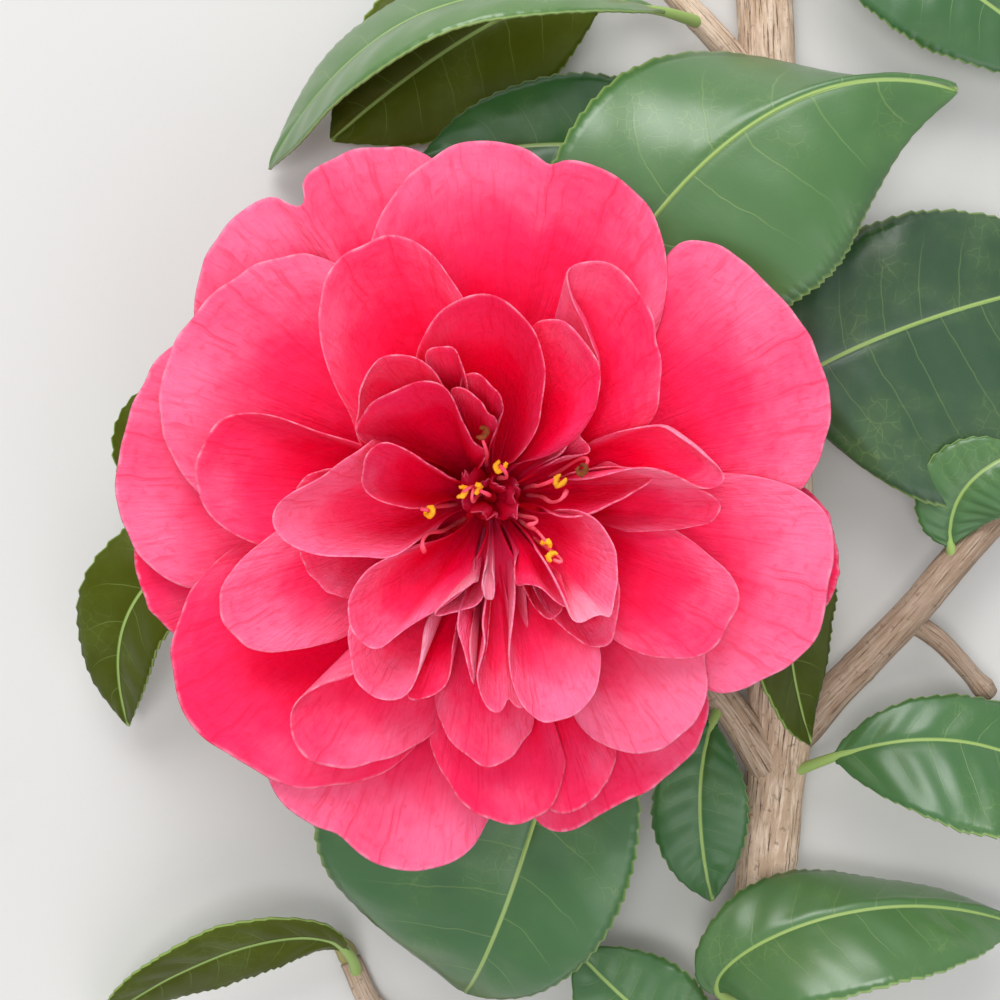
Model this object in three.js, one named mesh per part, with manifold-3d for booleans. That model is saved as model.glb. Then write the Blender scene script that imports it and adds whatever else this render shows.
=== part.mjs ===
// Cut camellia branch lying down, with one large double bloom facing up and its leaves.
// Millimetres, +Z up. Every place below is measured from the point on the ground under
// the middle of the branch, and the whole group is moved to the middle of its box last.

import * as THREE from 'three';
import { mergeVertices } from 'three/addons/utils/BufferGeometryUtils.js';
import Module from 'manifold-3d';

const wasm = await Module();
wasm.setup();

// Clearance left between touching pieces
const SEAT_GAP = 0.3;

// Slivers thinner than this are removed where petals join
const SLIVER = 0.03;

// Bark and leaf colours
const BARK = { color: 0x7d6149, roughness: 0.85, metalness: 0 };
const GREEN_BARK = { color: 0x6d7440, roughness: 0.7, metalness: 0 };
const LEAF = { color: 0x1f4a2b, roughness: 0.35, metalness: 0 };
const YOUNG_LEAF = { color: 0x6c8a35, roughness: 0.45, metalness: 0 };
const BRACT = { color: 0x7b7a3d, roughness: 0.7, metalness: 0 };
const PETAL = { color: 0xe0354f, roughness: 0.55, metalness: 0 };

// Bloom: its upright axis, the heights of its parts and the thickness of a petal
const BLOOM_AXIS = new THREE.Vector2(-1.5, 0.5);
const PETAL_THICKNESS = 1.7;
const CALYX_FOOT = 18;
const CALYX_RIM = 31;
const CALYX_RADIUS = 10.5;
const CORE_TOP = 47;

// Leaf thickness, the size of its stalk, and a blade with no half turned down
const LEAF_THICKNESS = 1.3;
const STALK_RADIUS = 1.1;
const NO_TUCK = { angle: 0, from: 0, to: 1 };

// A half that turns down needs closer rings, or its two sides would cross between them
const LEAF_GRID = { around: 8, along: 12 };
const TUCKED_GRID = { around: 8, along: 30 };

const UP = new THREE.Vector3(0, 0, 1);

// Stems: route points, radius at the foot and at the tip, and a swelling at a fork.
// Those that lie on the ground have their middle one radius above it.
const STEMS = {
  main_stem: {
    route: [[45.5, -97, 5.2], [45.5, -70, 5.15], [48.5, -35, 5], [49, 0, 4.9], [47, 50, 4.8], [45, 98, 4.7]],
    radius: [5.2, 4.7], knot: { at: 0.325, swell: 0.9, length: 0.05 }, sides: 12, steps: 20, finish: BARK,
  },
  flower_twig: {
    on: 'main_stem',
    route: [[47.5, -48, 5.6], [38, -34, 9.5], [18, -13, 11.5], [3, -3.5, 13], [-1.5, 0.5, 18.4]],
    radius: [2.9, 2.1], knot: { at: 0.05, swell: 0.5, length: 0.1 }, sides: 10, steps: 14, finish: BARK,
  },
  diagonal_stem: {
    on: 'main_stem',
    route: [[48.5, -42, 5.2], [58, -32, 7], [70, -19, 10], [84.5, -2.5, 10.5], [98, 8, 9]],
    radius: [3.2, 2.5], knot: { at: 0.06, swell: 0.6, length: 0.08 }, sides: 10, steps: 14, finish: BARK,
  },
  side_spur: {
    on: 'diagonal_stem',
    route: [[69, -20, 9.8], [75, -24, 8.6], [84, -33.5, 6.4]],
    radius: [1.9, 1.5], knot: { at: 0.9, swell: 0.4, length: 0.08 }, sides: 8, steps: 8, finish: BARK,
  },
  top_twig: {
    on: 'main_stem',
    route: [[46, 68, 4.8], [39, 77, 7], [31, 85, 8.5], [22, 95, 9]],
    radius: [2.6, 1.9], knot: { at: 0.06, swell: 0.4, length: 0.1 }, sides: 8, steps: 10, finish: BARK,
  },
  left_twig: {
    on: 'flower_twig',
    route: [[20, -14.4, 11.8], [8, -13, 8], [-14, -6, 3.8], [-36, 0, 2], [-52, 3, 1.75]],
    radius: [2.2, 1.7], knot: { at: 0.95, swell: 0.3, length: 0.05 }, sides: 8, steps: 12, finish: GREEN_BARK,
  },
  low_twig: {
    on: 'main_stem',
    route: [[45, -86, 4.9], [28, -93, 3.2], [-4, -94, 2.3], [-21, -89, 2], [-26, -80, 1.95]],
    radius: [2.4, 1.9], knot: { at: 0.05, swell: 0.4, length: 0.08 }, sides: 8, steps: 12, finish: BARK,
  },
};

// Leaves: foot on its stem, two handles and the tip of the midrib, half width of the
// blade, share of the length that is stalk, rise of each half from the midrib in
// degrees, turn about the midrib at foot and tip in degrees, and where a leaf has them
// skew: the share by which the half on the right is wider and the other narrower,
// full: how near to the tip the widest place is, and tuck: the angle by which the half
// on the left turns down between two shares of the length.
const LEAVES = {
  leaf_top_right: {
    on: 'flower_twig', rib: [[1.5, -2.4, 15], [8, 24, 28], [32.6, 75, 41], [73, 65.4, 30]],
    half: 23.2, stalk: 0.13, fold: 5, turn: [0, 4], skew: 0.14, full: 1.2,
    tuck: { angle: 88, from: 0.45, to: 0.95 }, finish: LEAF,
  },
  leaf_right: {
    on: 'main_stem', rib: [[48, 14, 4.9], [36, 16, 22], [69, 33, 18], [103, 38, 8]],
    half: 25, stalk: 0.14, fold: 5, turn: [0, 0], skew: -0.28, full: 0.85, finish: LEAF,
  },
  leaf_top: {
    on: 'top_twig', rib: [[34.5, 81.4, 7.9], [16, 80, 35], [-16, 91, 35], [-40, 57.5, 3]],
    half: 13, stalk: 0.13, fold: 6, turn: [56, 60], full: 1.15, finish: LEAF,
  },
  leaf_bottom: {
    on: 'flower_twig', rib: [[16, -11.7, 11.4], [14, -26, 29], [0, -72, 36], [-6, -84, 8]],
    half: 26, stalk: 0.14, fold: 5, turn: [0, 4], skew: 0.33, full: 1.1, finish: LEAF,
  },
  leaf_left: {
    on: 'left_twig', rib: [[-30, -1.8, 2.3], [-46, -6, 21], [-68, -9, 27], [-63.5, -38.5, 8]],
    half: 10, stalk: 0.14, fold: 16, turn: [8, 34], finish: YOUNG_LEAF,
  },
  leaf_left_upper: {
    on: 'left_twig', rib: [[-50, 2.6, 1.75], [-53, 3, 14], [-58, 8, 20], [-55, 20, 17]],
    half: 9, stalk: 0.2, fold: 10, turn: [0, 10], finish: YOUNG_LEAF,
  },
  leaf_low_left: {
    on: 'low_twig', rib: [[-25, -82.5, 2], [-24, -68, 18], [-46, -71, 20], [-70, -91, 3]],
    half: 7.5, stalk: 0.16, fold: 10, turn: [-30, -55], finish: YOUNG_LEAF,
  },
  leaf_low_right: {
    on: 'main_stem', rib: [[45, -86, 5.2], [20, -84, 22], [52, -56, 30], [87, -71.5, 13]],
    half: 13, stalk: 0.17, fold: 20, turn: [-20, -40], skew: -0.15,
    tuck: { angle: 62, from: 0.15, to: 0.75 }, finish: LEAF,
  },
  leaf_right_low: {
    on: 'main_stem', rib: [[47.2, -48, 5.2], [57, -43, 15], [76, -30, 21], [104, -54, 8]],
    half: 12.5, stalk: 0.2, fold: 10, turn: [-22, -36], skew: -0.33, finish: LEAF,
  },
  leaf_right_hanging: {
    on: 'main_stem', rib: [[49, 4, 4.9], [44, 0, 30], [44, -22, 33], [51, -40, 21]],
    half: 11, stalk: 0.16, fold: 12, turn: [-20, -52], finish: YOUNG_LEAF,
  },
  leaf_bottom_middle: {
    on: 'main_stem', rib: [[44.6, -94.5, 5.2], [36, -97, 10], [26, -90, 13], [12.5, -75.5, 13]],
    half: 10, stalk: 0.18, fold: 8, turn: [0, 10], finish: LEAF,
  },
  leaf_small_right: {
    on: 'diagonal_stem', rib: [[77, -11, 11], [74, -4, 14], [75, 4, 18], [86, 8, 18]],
    half: 7.5, stalk: 0.16, fold: 8, turn: [0, 0], finish: LEAF,
  },
  leaf_top_corner: {
    on: 'main_stem', rib: [[45.2, 94, 4.7], [54, 98, 14], [74, 92, 17], [97, 72, 10]],
    half: 12, stalk: 0.15, fold: 8, turn: [0, 0], finish: LEAF,
  },
  leaf_top_back: {
    on: 'top_twig', rib: [[27, 89.4, 8.8], [14, 90, 14], [-8, 80, 9], [-29, 62, 5]],
    half: 15, stalk: 0.14, fold: 4, turn: [0, 0], finish: YOUNG_LEAF,
  },
  leaf_top_dark: {
    on: 'main_stem', rib: [[47, 54, 4.8], [36, 57, 13], [14, 63, 19], [-14, 56, 15]],
    half: 12, stalk: 0.14, fold: 5, turn: [0, 6], finish: LEAF,
  },
  leaf_fork: {
    on: 'flower_twig', rib: [[38, -34, 9.4], [33, -40, 15], [32, -53, 16], [36, -68, 10]],
    half: 8, stalk: 0.14, fold: 8, turn: [0, 0], finish: LEAF,
  },
};

// Petals: direction in degrees, reach of the rim's middle from the axis, greatest
// width, height of foot and rim, bow of the midline (up is plus), and the angle in
// radians that the section turns through on each side of the midline.
const OUTER_PETALS = [
  [83, 54, 47, 35.5, 45, 3, 0.1],
  [126, 58.5, 46, 34.8, 41.5, 3, 0.1],
  [151, 53.5, 44, 35.5, 45, 3, 0.12],
  [178, 57.5, 43, 34.8, 41.5, 3, 0.1],
  [198, 53, 36, 34.5, 37.5, 2, 0.05],
  [219, 57.6, 47, 35.3, 44, 3, 0.1],
  [251, 59, 45, 34.8, 41.5, 3, 0.08],
  [271, 50.5, 29, 35.6, 46, 3, 0.12],
  [287.6, 50.2, 25, 35.3, 44, 3, 0.1],
  [297, 53.5, 39, 34.6, 40, 2.5, 0.08],
  [305, 47, 33, 35.7, 46.5, 3, 0.12],
  [343, 54.4, 40, 35.4, 44.5, 3, 0.1],
  [352, 54.5, 34, 34.6, 39.5, 2.5, 0.05],
  [28, 55.5, 46, 35, 43, 3, 0.1],
];
const MIDDLE_PETALS = [
  [175, 43.5, 27, 38, 50, -1, 0.8],
  [116.7, 42.6, 24, 38.5, 56, -2, 0.35],
  [60.7, 38.8, 21, 38.5, 58, -3, 0.5],
  [201, 42.5, 21, 37.5, 49.5, 2, 0.2],
  [237.7, 44.3, 25, 37.5, 48.5, 1, 0.35],
  [268, 39.7, 17, 38, 50, 1, 0.2],
  [334, 40, 26, 38, 51.5, 1, 0.25],
  [8, 34.3, 13, 40, 58, 0, 0.4],
  [358, 34, 15, 38.5, 53.5, -1, 0.7],
];
const INNER_PETALS = [
  [93, 28.6, 22, 40, 66, -4, 0.8],
  [59, 24.7, 15, 40, 64, -3, 0.6],
  [123, 18.8, 19, 42, 72, -4, 1],
  [124, 23.8, 14, 41, 67, -2, 0.5],
  [184.7, 31.3, 18.5, 40, 60.5, 1, 0.3],
  [172, 18.5, 13, 42, 65, -2, 0.7],
  [220, 26, 15, 41, 61.5, -1, 0.5],
  [240, 33.2, 12.5, 40, 56, 0, 0.3],
  [270, 31, 8, 41, 58.5, 0, 0.6],
  [286, 33.8, 14, 40, 59, 0, 0.25],
  [310, 21, 12, 42, 63, -1, 0.6],
];
const OUTER_GRID = { around: 8, along: 6 };
const INNER_GRID = { around: 6, along: 5 };

function vector([x, y, z]) {
  return new THREE.Vector3(x, y, z);
}

// A closed geometry with its corners shared, ready for joining and cutting
function closed(geometry) {
  geometry.deleteAttribute('normal');
  geometry.deleteAttribute('uv');
  return mergeVertices(geometry, 1e-5);
}

function solid(geometry) {
  return new wasm.Manifold(new wasm.Mesh({
    numProp: 3,
    vertProperties: new Float32Array(geometry.attributes.position.array),
    triVerts: new Uint32Array(geometry.index.array),
  }));
}

function geometryOf(body) {
  const mesh = body.getMesh();
  const geometry = new THREE.BufferGeometry();
  geometry.setAttribute('position', new THREE.BufferAttribute(mesh.vertProperties, 3));
  geometry.setIndex(new THREE.BufferAttribute(mesh.triVerts, 1));
  return geometry;
}

// A ball drawn out into a blade. place(t, s, h) gives the point at the share t of the
// length, s from -1 to 1 across and h from -1 to 1 through the thickness.
function blade({ around, along }, place) {
  const geometry = closed(new THREE.SphereGeometry(1, around, along));
  const position = geometry.attributes.position;
  const corner = new THREE.Vector3();
  for (let i = 0; i < position.count; i += 1) {
    corner.fromBufferAttribute(position, i);
    const ring = Math.hypot(corner.x, corner.z);
    const isPole = ring < 1e-4;
    const t = Math.acos(THREE.MathUtils.clamp(corner.y, -1, 1)) / Math.PI;
    const s = isPole ? 0 : corner.x / ring;
    const h = isPole ? 0 : corner.z / ring;
    place(isPole ? Math.round(t) : t, s, h, corner);
    position.setXYZ(i, corner.x, corner.y, corner.z);
  }
  return geometry;
}

// Sideways and upward directions at one point of a midrib, turned about it
function bladeFrame(tangent, turn) {
  const side = new THREE.Vector3().crossVectors(UP, tangent).normalize();
  side.applyAxisAngle(tangent, turn);
  const normal = new THREE.Vector3().crossVectors(tangent, side);
  return { side, normal };
}

// A round limb bent along its route, tapering, with flat ends. A knot swells to the
// sides and upward, so the underside stays straight. extra adds that much round the limb
// and past its tip.
function limbGeometry(stem, extra = 0) {
  const curve = new THREE.CatmullRomCurve3(stem.route.map(vector));
  const geometry = closed(new THREE.CylinderGeometry(1, 1, 1, stem.sides, stem.steps));
  const position = geometry.attributes.position;
  const { radius: [foot, tip], knot } = stem;
  for (let i = 0; i < position.count; i += 1) {
    const t = THREE.MathUtils.clamp(position.getY(i) + 0.5, 0, 1);
    const tangent = curve.getTangentAt(t);
    const lift = UP.clone().addScaledVector(tangent, -UP.dot(tangent)).normalize();
    const side = new THREE.Vector3().crossVectors(tangent, lift);
    const bump = knot.swell * Math.exp(-(((t - knot.at) / knot.length) ** 2));
    const radius = THREE.MathUtils.lerp(foot, tip, t) + bump + extra;
    const point = curve.getPointAt(t)
      .addScaledVector(tangent, t === 1 ? extra : 0)
      .addScaledVector(side, position.getX(i) * radius)
      .addScaledVector(lift, position.getZ(i) * radius + bump);
    position.setXYZ(i, point.x, point.y, point.z);
  }
  return geometry;
}

// Half width of a camellia leaf from the end of its stalk (0) to its drawn-out tip (1).
// A larger full puts its widest place nearer to the tip.
function leafOutline(q, full) {
  const oval = Math.sin(Math.PI * q ** full) ** 0.74;
  const drawnIn = 1 - 0.2 * THREE.MathUtils.smoothstep(q, 0.84, 1);
  return oval * drawnIn;
}

function leafGeometry({ rib, half, stalk, fold, turn, skew = 0, full = 0.95, tuck = NO_TUCK }) {
  const spine = new THREE.CubicBezierCurve3(...rib.map(vector));
  const rise = THREE.MathUtils.degToRad(fold);
  return blade(tuck === NO_TUCK ? LEAF_GRID : TUCKED_GRID, (t, s, h, corner) => {
    const q = Math.max(0, (t - stalk) / (1 - stalk));
    const width = Math.max(leafOutline(q, full) * half, STALK_RADIUS * (1 - q)) * Math.min(1, 12 * t);
    const thickness = THREE.MathUtils.lerp(2 * STALK_RADIUS, LEAF_THICKNESS, Math.min(1, 5 * q));
    const roll = THREE.MathUtils.degToRad(THREE.MathUtils.lerp(turn[0], turn[1], t));
    const { side, normal } = bladeFrame(spine.getTangentAt(t), roll);
    const through = h * 0.5 * thickness * Math.min(1, 12 * t, 12 * (1 - t));
    const across = s * width * (1 - skew * Math.sign(s));
    const tucked = s > 0 ? tuck.angle * THREE.MathUtils.smoothstep(t, tuck.from, tuck.to) : 0;
    const lean = THREE.MathUtils.degToRad(tucked);
    const slope = rise - lean;
    corner.copy(spine.getPointAt(t))
      .addScaledVector(side, across * Math.cos(slope) + through * Math.sin(lean))
      .addScaledVector(normal, Math.abs(across) * Math.sin(slope) + through * Math.cos(lean));
  });
}

// Half width of a petal from its narrow foot (0) to the round rim (1)
function petalOutline(q) {
  const widest = 0.62;
  const foot = 0.3;
  if (q < widest) return foot + (1 - foot) * Math.sin((0.5 * Math.PI * q) / widest);
  return Math.sqrt(Math.max(0, 1 - ((q - widest) / (1 - widest)) ** 2));
}

function petalGeometry([direction, reach, width, footHeight, rimHeight, bow, cup], grid) {
  const angle = THREE.MathUtils.degToRad(direction);
  const outward = new THREE.Vector3(Math.cos(angle), Math.sin(angle), 0);
  const axis = new THREE.Vector3(BLOOM_AXIS.x, BLOOM_AXIS.y, 0);
  const foot = axis.clone().addScaledVector(outward, 3).setZ(footHeight);
  const rim = axis.clone().addScaledVector(outward, reach).setZ(rimHeight);
  const chord = rim.clone().sub(foot).normalize();
  const middle = foot.clone().lerp(rim, 0.5).addScaledVector(bladeFrame(chord, 0).normal, 2 * bow);
  const spine = new THREE.QuadraticBezierCurve3(foot, middle, rim);
  const bend = cup / (0.5 * width);
  return blade(grid, (t, s, h, corner) => {
    const q = 0.5 * (1 - Math.cos(Math.PI * t));
    const { side, normal } = bladeFrame(spine.getTangentAt(q), 0);
    const across = s * 0.5 * width * petalOutline(q) * Math.min(1, 8 * t);
    const through = h * 0.5 * PETAL_THICKNESS * Math.min(1, 2 * Math.sin(Math.PI * t));
    corner.copy(spine.getPointAt(q))
      .addScaledVector(side, Math.sin(across * bend) / bend)
      .addScaledVector(normal, (1 - Math.cos(across * bend)) / bend + through);
  });
}

// A turned body on the bloom's axis from a profile of [radius, height]
function turned(profile, segments) {
  const points = profile.map(([radius, height]) => new THREE.Vector2(radius, height));
  const geometry = new THREE.LatheGeometry(points, segments);
  geometry.rotateX(0.5 * Math.PI);
  geometry.translate(BLOOM_AXIS.x, BLOOM_AXIS.y, 0);
  return closed(geometry);
}

// The calyx is a cup of bracts, wide open at its rim
function calyxGeometry() {
  const outside = [[0, 0], [0.28, 0.04], [0.62, 0.2], [0.88, 0.55], [1, 0.9], [0.98, 1]];
  const inside = [[0.9, 0.97], [0.72, 0.56], [0.45, 0.27], [0, 0.15]];
  const height = CALYX_RIM - CALYX_FOOT;
  const profile = [...outside, ...inside];
  return turned(profile.map(([r, z]) => [r * CALYX_RADIUS, CALYX_FOOT + z * height]), 16);
}

// The bloom's core fills the calyx with a clearance and carries every petal
function coreGeometry() {
  const height = CALYX_RIM - CALYX_FOOT;
  const inCup = [[0, 0.15], [0.42, 0.27], [0.68, 0.56], [0.84, 0.97]];
  const buried = inCup.map(([r, z]) => [r * CALYX_RADIUS, CALYX_FOOT + z * height + 2 * SEAT_GAP]);
  const crown = [[10, CALYX_RIM + 3], [10.5, CALYX_RIM + 8], [7, CORE_TOP - 2], [0, CORE_TOP]];
  return turned([...buried, ...crown], 12);
}

function addPiece(group, name, geometry, finish) {
  const mesh = new THREE.Mesh(geometry, new THREE.MeshStandardMaterial(finish));
  mesh.name = name;
  group.add(mesh);
}

// A piece that grows from a stem, cut back to that stem's surface with a clearance
function seated(geometry, carrier) {
  const grown = solid(limbGeometry(STEMS[carrier], SEAT_GAP));
  return geometryOf(solid(geometry).subtract(grown));
}

const branch = new THREE.Group();

for (const [name, stem] of Object.entries(STEMS)) {
  const limb = limbGeometry(stem);
  addPiece(branch, name, stem.on ? seated(limb, stem.on) : limb, stem.finish);
}

addPiece(branch, 'calyx', seated(calyxGeometry(), 'flower_twig'), BRACT);

let bloom = solid(coreGeometry());
for (const petal of OUTER_PETALS) bloom = bloom.add(solid(petalGeometry(petal, OUTER_GRID)));
for (const petal of [...MIDDLE_PETALS, ...INNER_PETALS]) bloom = bloom.add(solid(petalGeometry(petal, INNER_GRID)));
addPiece(branch, 'bloom', geometryOf(bloom.simplify(SLIVER)), PETAL);

for (const [name, leaf] of Object.entries(LEAVES)) {
  addPiece(branch, name, seated(leafGeometry(leaf), leaf.on), leaf.finish);
}

// The ground under the middle of the branch becomes the origin
const box = new THREE.Box3().setFromObject(branch);
const centre = box.getCenter(new THREE.Vector3());
branch.position.set(-centre.x, -centre.y, -box.min.z);

export default branch;
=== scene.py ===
"""Cut camellia branch with one large double bloom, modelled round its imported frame.

Every place below is in millimetres, measured from the point on the ground under the
camera, with Z up. ORIGIN carries it into the frame, which is in metres.
"""

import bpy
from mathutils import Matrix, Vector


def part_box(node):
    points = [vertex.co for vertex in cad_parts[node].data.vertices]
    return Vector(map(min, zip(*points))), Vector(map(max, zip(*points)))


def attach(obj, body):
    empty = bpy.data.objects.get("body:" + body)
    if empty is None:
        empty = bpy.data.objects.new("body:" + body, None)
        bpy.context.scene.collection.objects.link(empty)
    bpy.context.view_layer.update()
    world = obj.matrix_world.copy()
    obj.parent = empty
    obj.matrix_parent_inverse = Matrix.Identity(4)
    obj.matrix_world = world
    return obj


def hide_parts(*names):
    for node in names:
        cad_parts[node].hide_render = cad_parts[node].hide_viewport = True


bl_info = {
    "name": "Cut camellia branch",
    "version": (1, 0, 0),
    "blender": (4, 5, 0),
    "location": "View3D > Sidebar > Camellia",
    "description": "Models a cut camellia branch with one double bloom",
    "category": "Add Mesh",
}

import math
from bisect import bisect_right

import bpy
from bpy.props import FloatProperty, FloatVectorProperty, PointerProperty
from mathutils import Matrix, Vector, noise

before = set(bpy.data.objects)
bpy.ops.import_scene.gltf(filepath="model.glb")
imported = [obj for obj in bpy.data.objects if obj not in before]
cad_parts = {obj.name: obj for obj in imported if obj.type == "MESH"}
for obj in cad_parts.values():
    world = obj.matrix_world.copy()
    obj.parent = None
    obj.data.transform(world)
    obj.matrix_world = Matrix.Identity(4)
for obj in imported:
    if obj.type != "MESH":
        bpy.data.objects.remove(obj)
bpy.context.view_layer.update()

MM = 0.001
UP = Vector((0, 0, 1))
BLOOM_AXIS = Vector((-1.5, 0.5, 0))
CALYX_FOOT = 18.0
CALYX_RIM = 31.0
CALYX_RADIUS = 10.5
CAMERA_HEIGHT = 345.0
RIM_PLANE = 45.0
RIM_PLANE_VIEW = 152.0

calyx_low, calyx_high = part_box("calyx")
ORIGIN = Vector((
    0.5 * (calyx_low.x + calyx_high.x),
    0.5 * (calyx_low.y + calyx_high.y),
    calyx_high.z,
)) - (BLOOM_AXIS + UP * CALYX_RIM) * MM

# Stems: route, radius at the foot and at the tip, the swelling of a knot, how the ends
# are finished, and how much darker than the main stem the bark is painted: partly the
# bark's own colour and partly painted shade on twigs that lie in shadow
STEMS = {
    "main_stem": dict(
        route=[(45.5, -97, 5.2), (45.5, -70, 5.15), (48.5, -35, 5), (49, 0, 4.9), (47, 50, 4.8), (45, 98, 4.7)],
        radius=(5.2, 4.7), knot=(0.325, 0.9, 0.05), ends="cut",
    ),
    "flower_twig": dict(
        route=[(47.5, -48, 5.6), (38, -34, 9.5), (18, -13, 11.5), (3, -3.5, 13), (-1.5, 0.5, 18.4)],
        radius=(2.9, 2.1), knot=(0.05, 0.5, 0.1), ends="grown", tone_and_painted_shading=0.25,
    ),
    "diagonal_stem": dict(
        route=[(48.5, -42, 5.2), (58, -32, 7), (70, -19, 10), (84.5, -2.5, 10.5), (98, 8, 9)],
        radius=(3.2, 2.5), knot=(0.06, 0.6, 0.08), ends="cut", tone_and_painted_shading=0.5,
    ),
    "side_spur": dict(
        route=[(69, -20, 9.8), (75, -24, 8.6), (84, -33.5, 6.4)],
        radius=(1.9, 1.5), knot=(0.9, 0.4, 0.08), ends="cut", tone_and_painted_shading=0.55,
    ),
    "top_twig": dict(
        route=[(46, 68, 4.8), (39, 77, 7), (31, 85, 8.5), (22, 95, 9)],
        radius=(2.6, 1.9), knot=(0.06, 0.4, 0.1), ends="bud",
    ),
    "left_twig": dict(
        route=[(20, -14.4, 11.8), (8, -13, 8), (-14, -6, 3.8), (-36, 0, 2), (-52, 3, 1.75)],
        radius=(2.2, 1.7), knot=(0.95, 0.3, 0.05), ends="bud", green=True,
    ),
    "low_twig": dict(
        route=[(45, -86, 4.9), (28, -93, 3.2), (-4, -94, 2.3), (-21, -89, 2), (-26, -80, 1.95)],
        radius=(2.4, 1.9), knot=(0.05, 0.4, 0.08), ends="bud", tone_and_painted_shading=0.25,
    ),
}

# Leaves: foot, two handles and tip of the midrib, half width of the blade, share of the
# length that is stalk, rise of each half in degrees, turn at foot and tip in degrees,
# skew: the share by which the half on the right is wider and the other narrower,
# full: how near to the tip the widest place is, and tuck: the angle by which the half
# on the left turns down, and the shares of the length where that begins and ends.
# The tone makes a leaf lighter or darker: partly its own colour, and partly painted
# sheen where the glossy leaf reflects the sky, as on leaf_top_right and leaf_top.
LEAVES = {
    "leaf_top_right": dict(rib=[(1.5, -2.4, 15), (8, 24, 28), (32.6, 75, 41), (73, 65.4, 30)],
                           half=23.2, stalk=0.13, fold=5, turn=(0, 4), skew=0.14, full=1.2,
                           tuck=(88, 0.45, 0.95), tone_and_painted_shading=0.3),
    "leaf_right": dict(rib=[(48, 14, 4.9), (36, 16, 22), (69, 33, 18), (103, 38, 8)],
                       half=25, stalk=0.14, fold=5, turn=(0, 0), skew=-0.28, full=0.85, tone_and_painted_shading=-1.0),
    "leaf_top": dict(rib=[(34.5, 81.4, 7.9), (16, 80, 35), (-16, 91, 35), (-40, 57.5, 3)],
                     half=13, stalk=0.13, fold=6, turn=(56, 60), full=1.15, tone_and_painted_shading=0.5),
    "leaf_bottom": dict(rib=[(16, -11.7, 11.4), (14, -26, 29), (0, -72, 36), (-6, -84, 8)],
                        half=26, stalk=0.14, fold=5, turn=(0, 4), skew=0.33, full=1.1, tone_and_painted_shading=0.1),
    "leaf_left": dict(rib=[(-30, -1.8, 2.3), (-46, -6, 21), (-68, -9, 27), (-63.5, -38.5, 8)],
                      half=10, stalk=0.14, fold=16, turn=(8, 34), young=True),
    "leaf_left_upper": dict(rib=[(-50, 2.6, 1.75), (-53, 3, 14), (-58, 8, 20), (-55, 20, 17)],
                            half=9, stalk=0.2, fold=10, turn=(0, 10), young=True),
    "leaf_low_left": dict(rib=[(-25, -82.5, 2), (-24, -68, 18), (-46, -71, 20), (-70, -91, 3)],
                          half=7.5, stalk=0.16, fold=10, turn=(-30, -55), young=True),
    "leaf_low_right": dict(rib=[(45, -86, 5.2), (20, -84, 22), (52, -56, 30), (87, -71.5, 13)],
                           half=13, stalk=0.17, fold=20, turn=(-20, -40), skew=-0.15,
                           tuck=(62, 0.15, 0.75), tone_and_painted_shading=0.3),
    "leaf_right_low": dict(rib=[(47.2, -48, 5.2), (57, -43, 15), (76, -30, 21), (104, -54, 8)],
                           half=12.5, stalk=0.2, fold=10, turn=(-22, -36), skew=-0.33, tone_and_painted_shading=0.1),
    "leaf_right_hanging": dict(rib=[(49, 4, 4.9), (44, 0, 30), (44, -22, 33), (51, -40, 21)],
                               half=11, stalk=0.16, fold=12, turn=(-20, -52), young=True, tone_and_painted_shading=-0.3),
    "leaf_bottom_middle": dict(rib=[(44.6, -94.5, 5.2), (36, -97, 10), (26, -90, 13), (12.5, -75.5, 13)],
                               half=10, stalk=0.18, fold=8, turn=(0, 10), tone_and_painted_shading=0.1),
    "leaf_small_right": dict(rib=[(77, -11, 11), (74, -4, 14), (75, 4, 18), (86, 8, 18)],
                             half=7.5, stalk=0.16, fold=8, turn=(0, 0), tone_and_painted_shading=0.2),
    "leaf_top_corner": dict(rib=[(45.2, 94, 4.7), (54, 98, 14), (74, 92, 17), (97, 72, 10)],
                            half=12, stalk=0.15, fold=8, turn=(0, 0), tone_and_painted_shading=-0.3),
    "leaf_top_back": dict(rib=[(27, 89.4, 8.8), (14, 90, 14), (-8, 80, 9), (-29, 62, 5)],
                          half=15, stalk=0.14, fold=4, turn=(0, 0), young=True, tone_and_painted_shading=0.2),
    "leaf_top_dark": dict(rib=[(47, 54, 4.8), (36, 57, 13), (14, 63, 19), (-14, 56, 15)],
                          half=12, stalk=0.14, fold=5, turn=(0, 6), tone_and_painted_shading=-0.2),
    "leaf_fork": dict(rib=[(38, -34, 9.4), (33, -40, 15), (32, -53, 16), (36, -68, 10)],
                      half=8, stalk=0.14, fold=8, turn=(0, 0), tone_and_painted_shading=-0.1),
}
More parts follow.
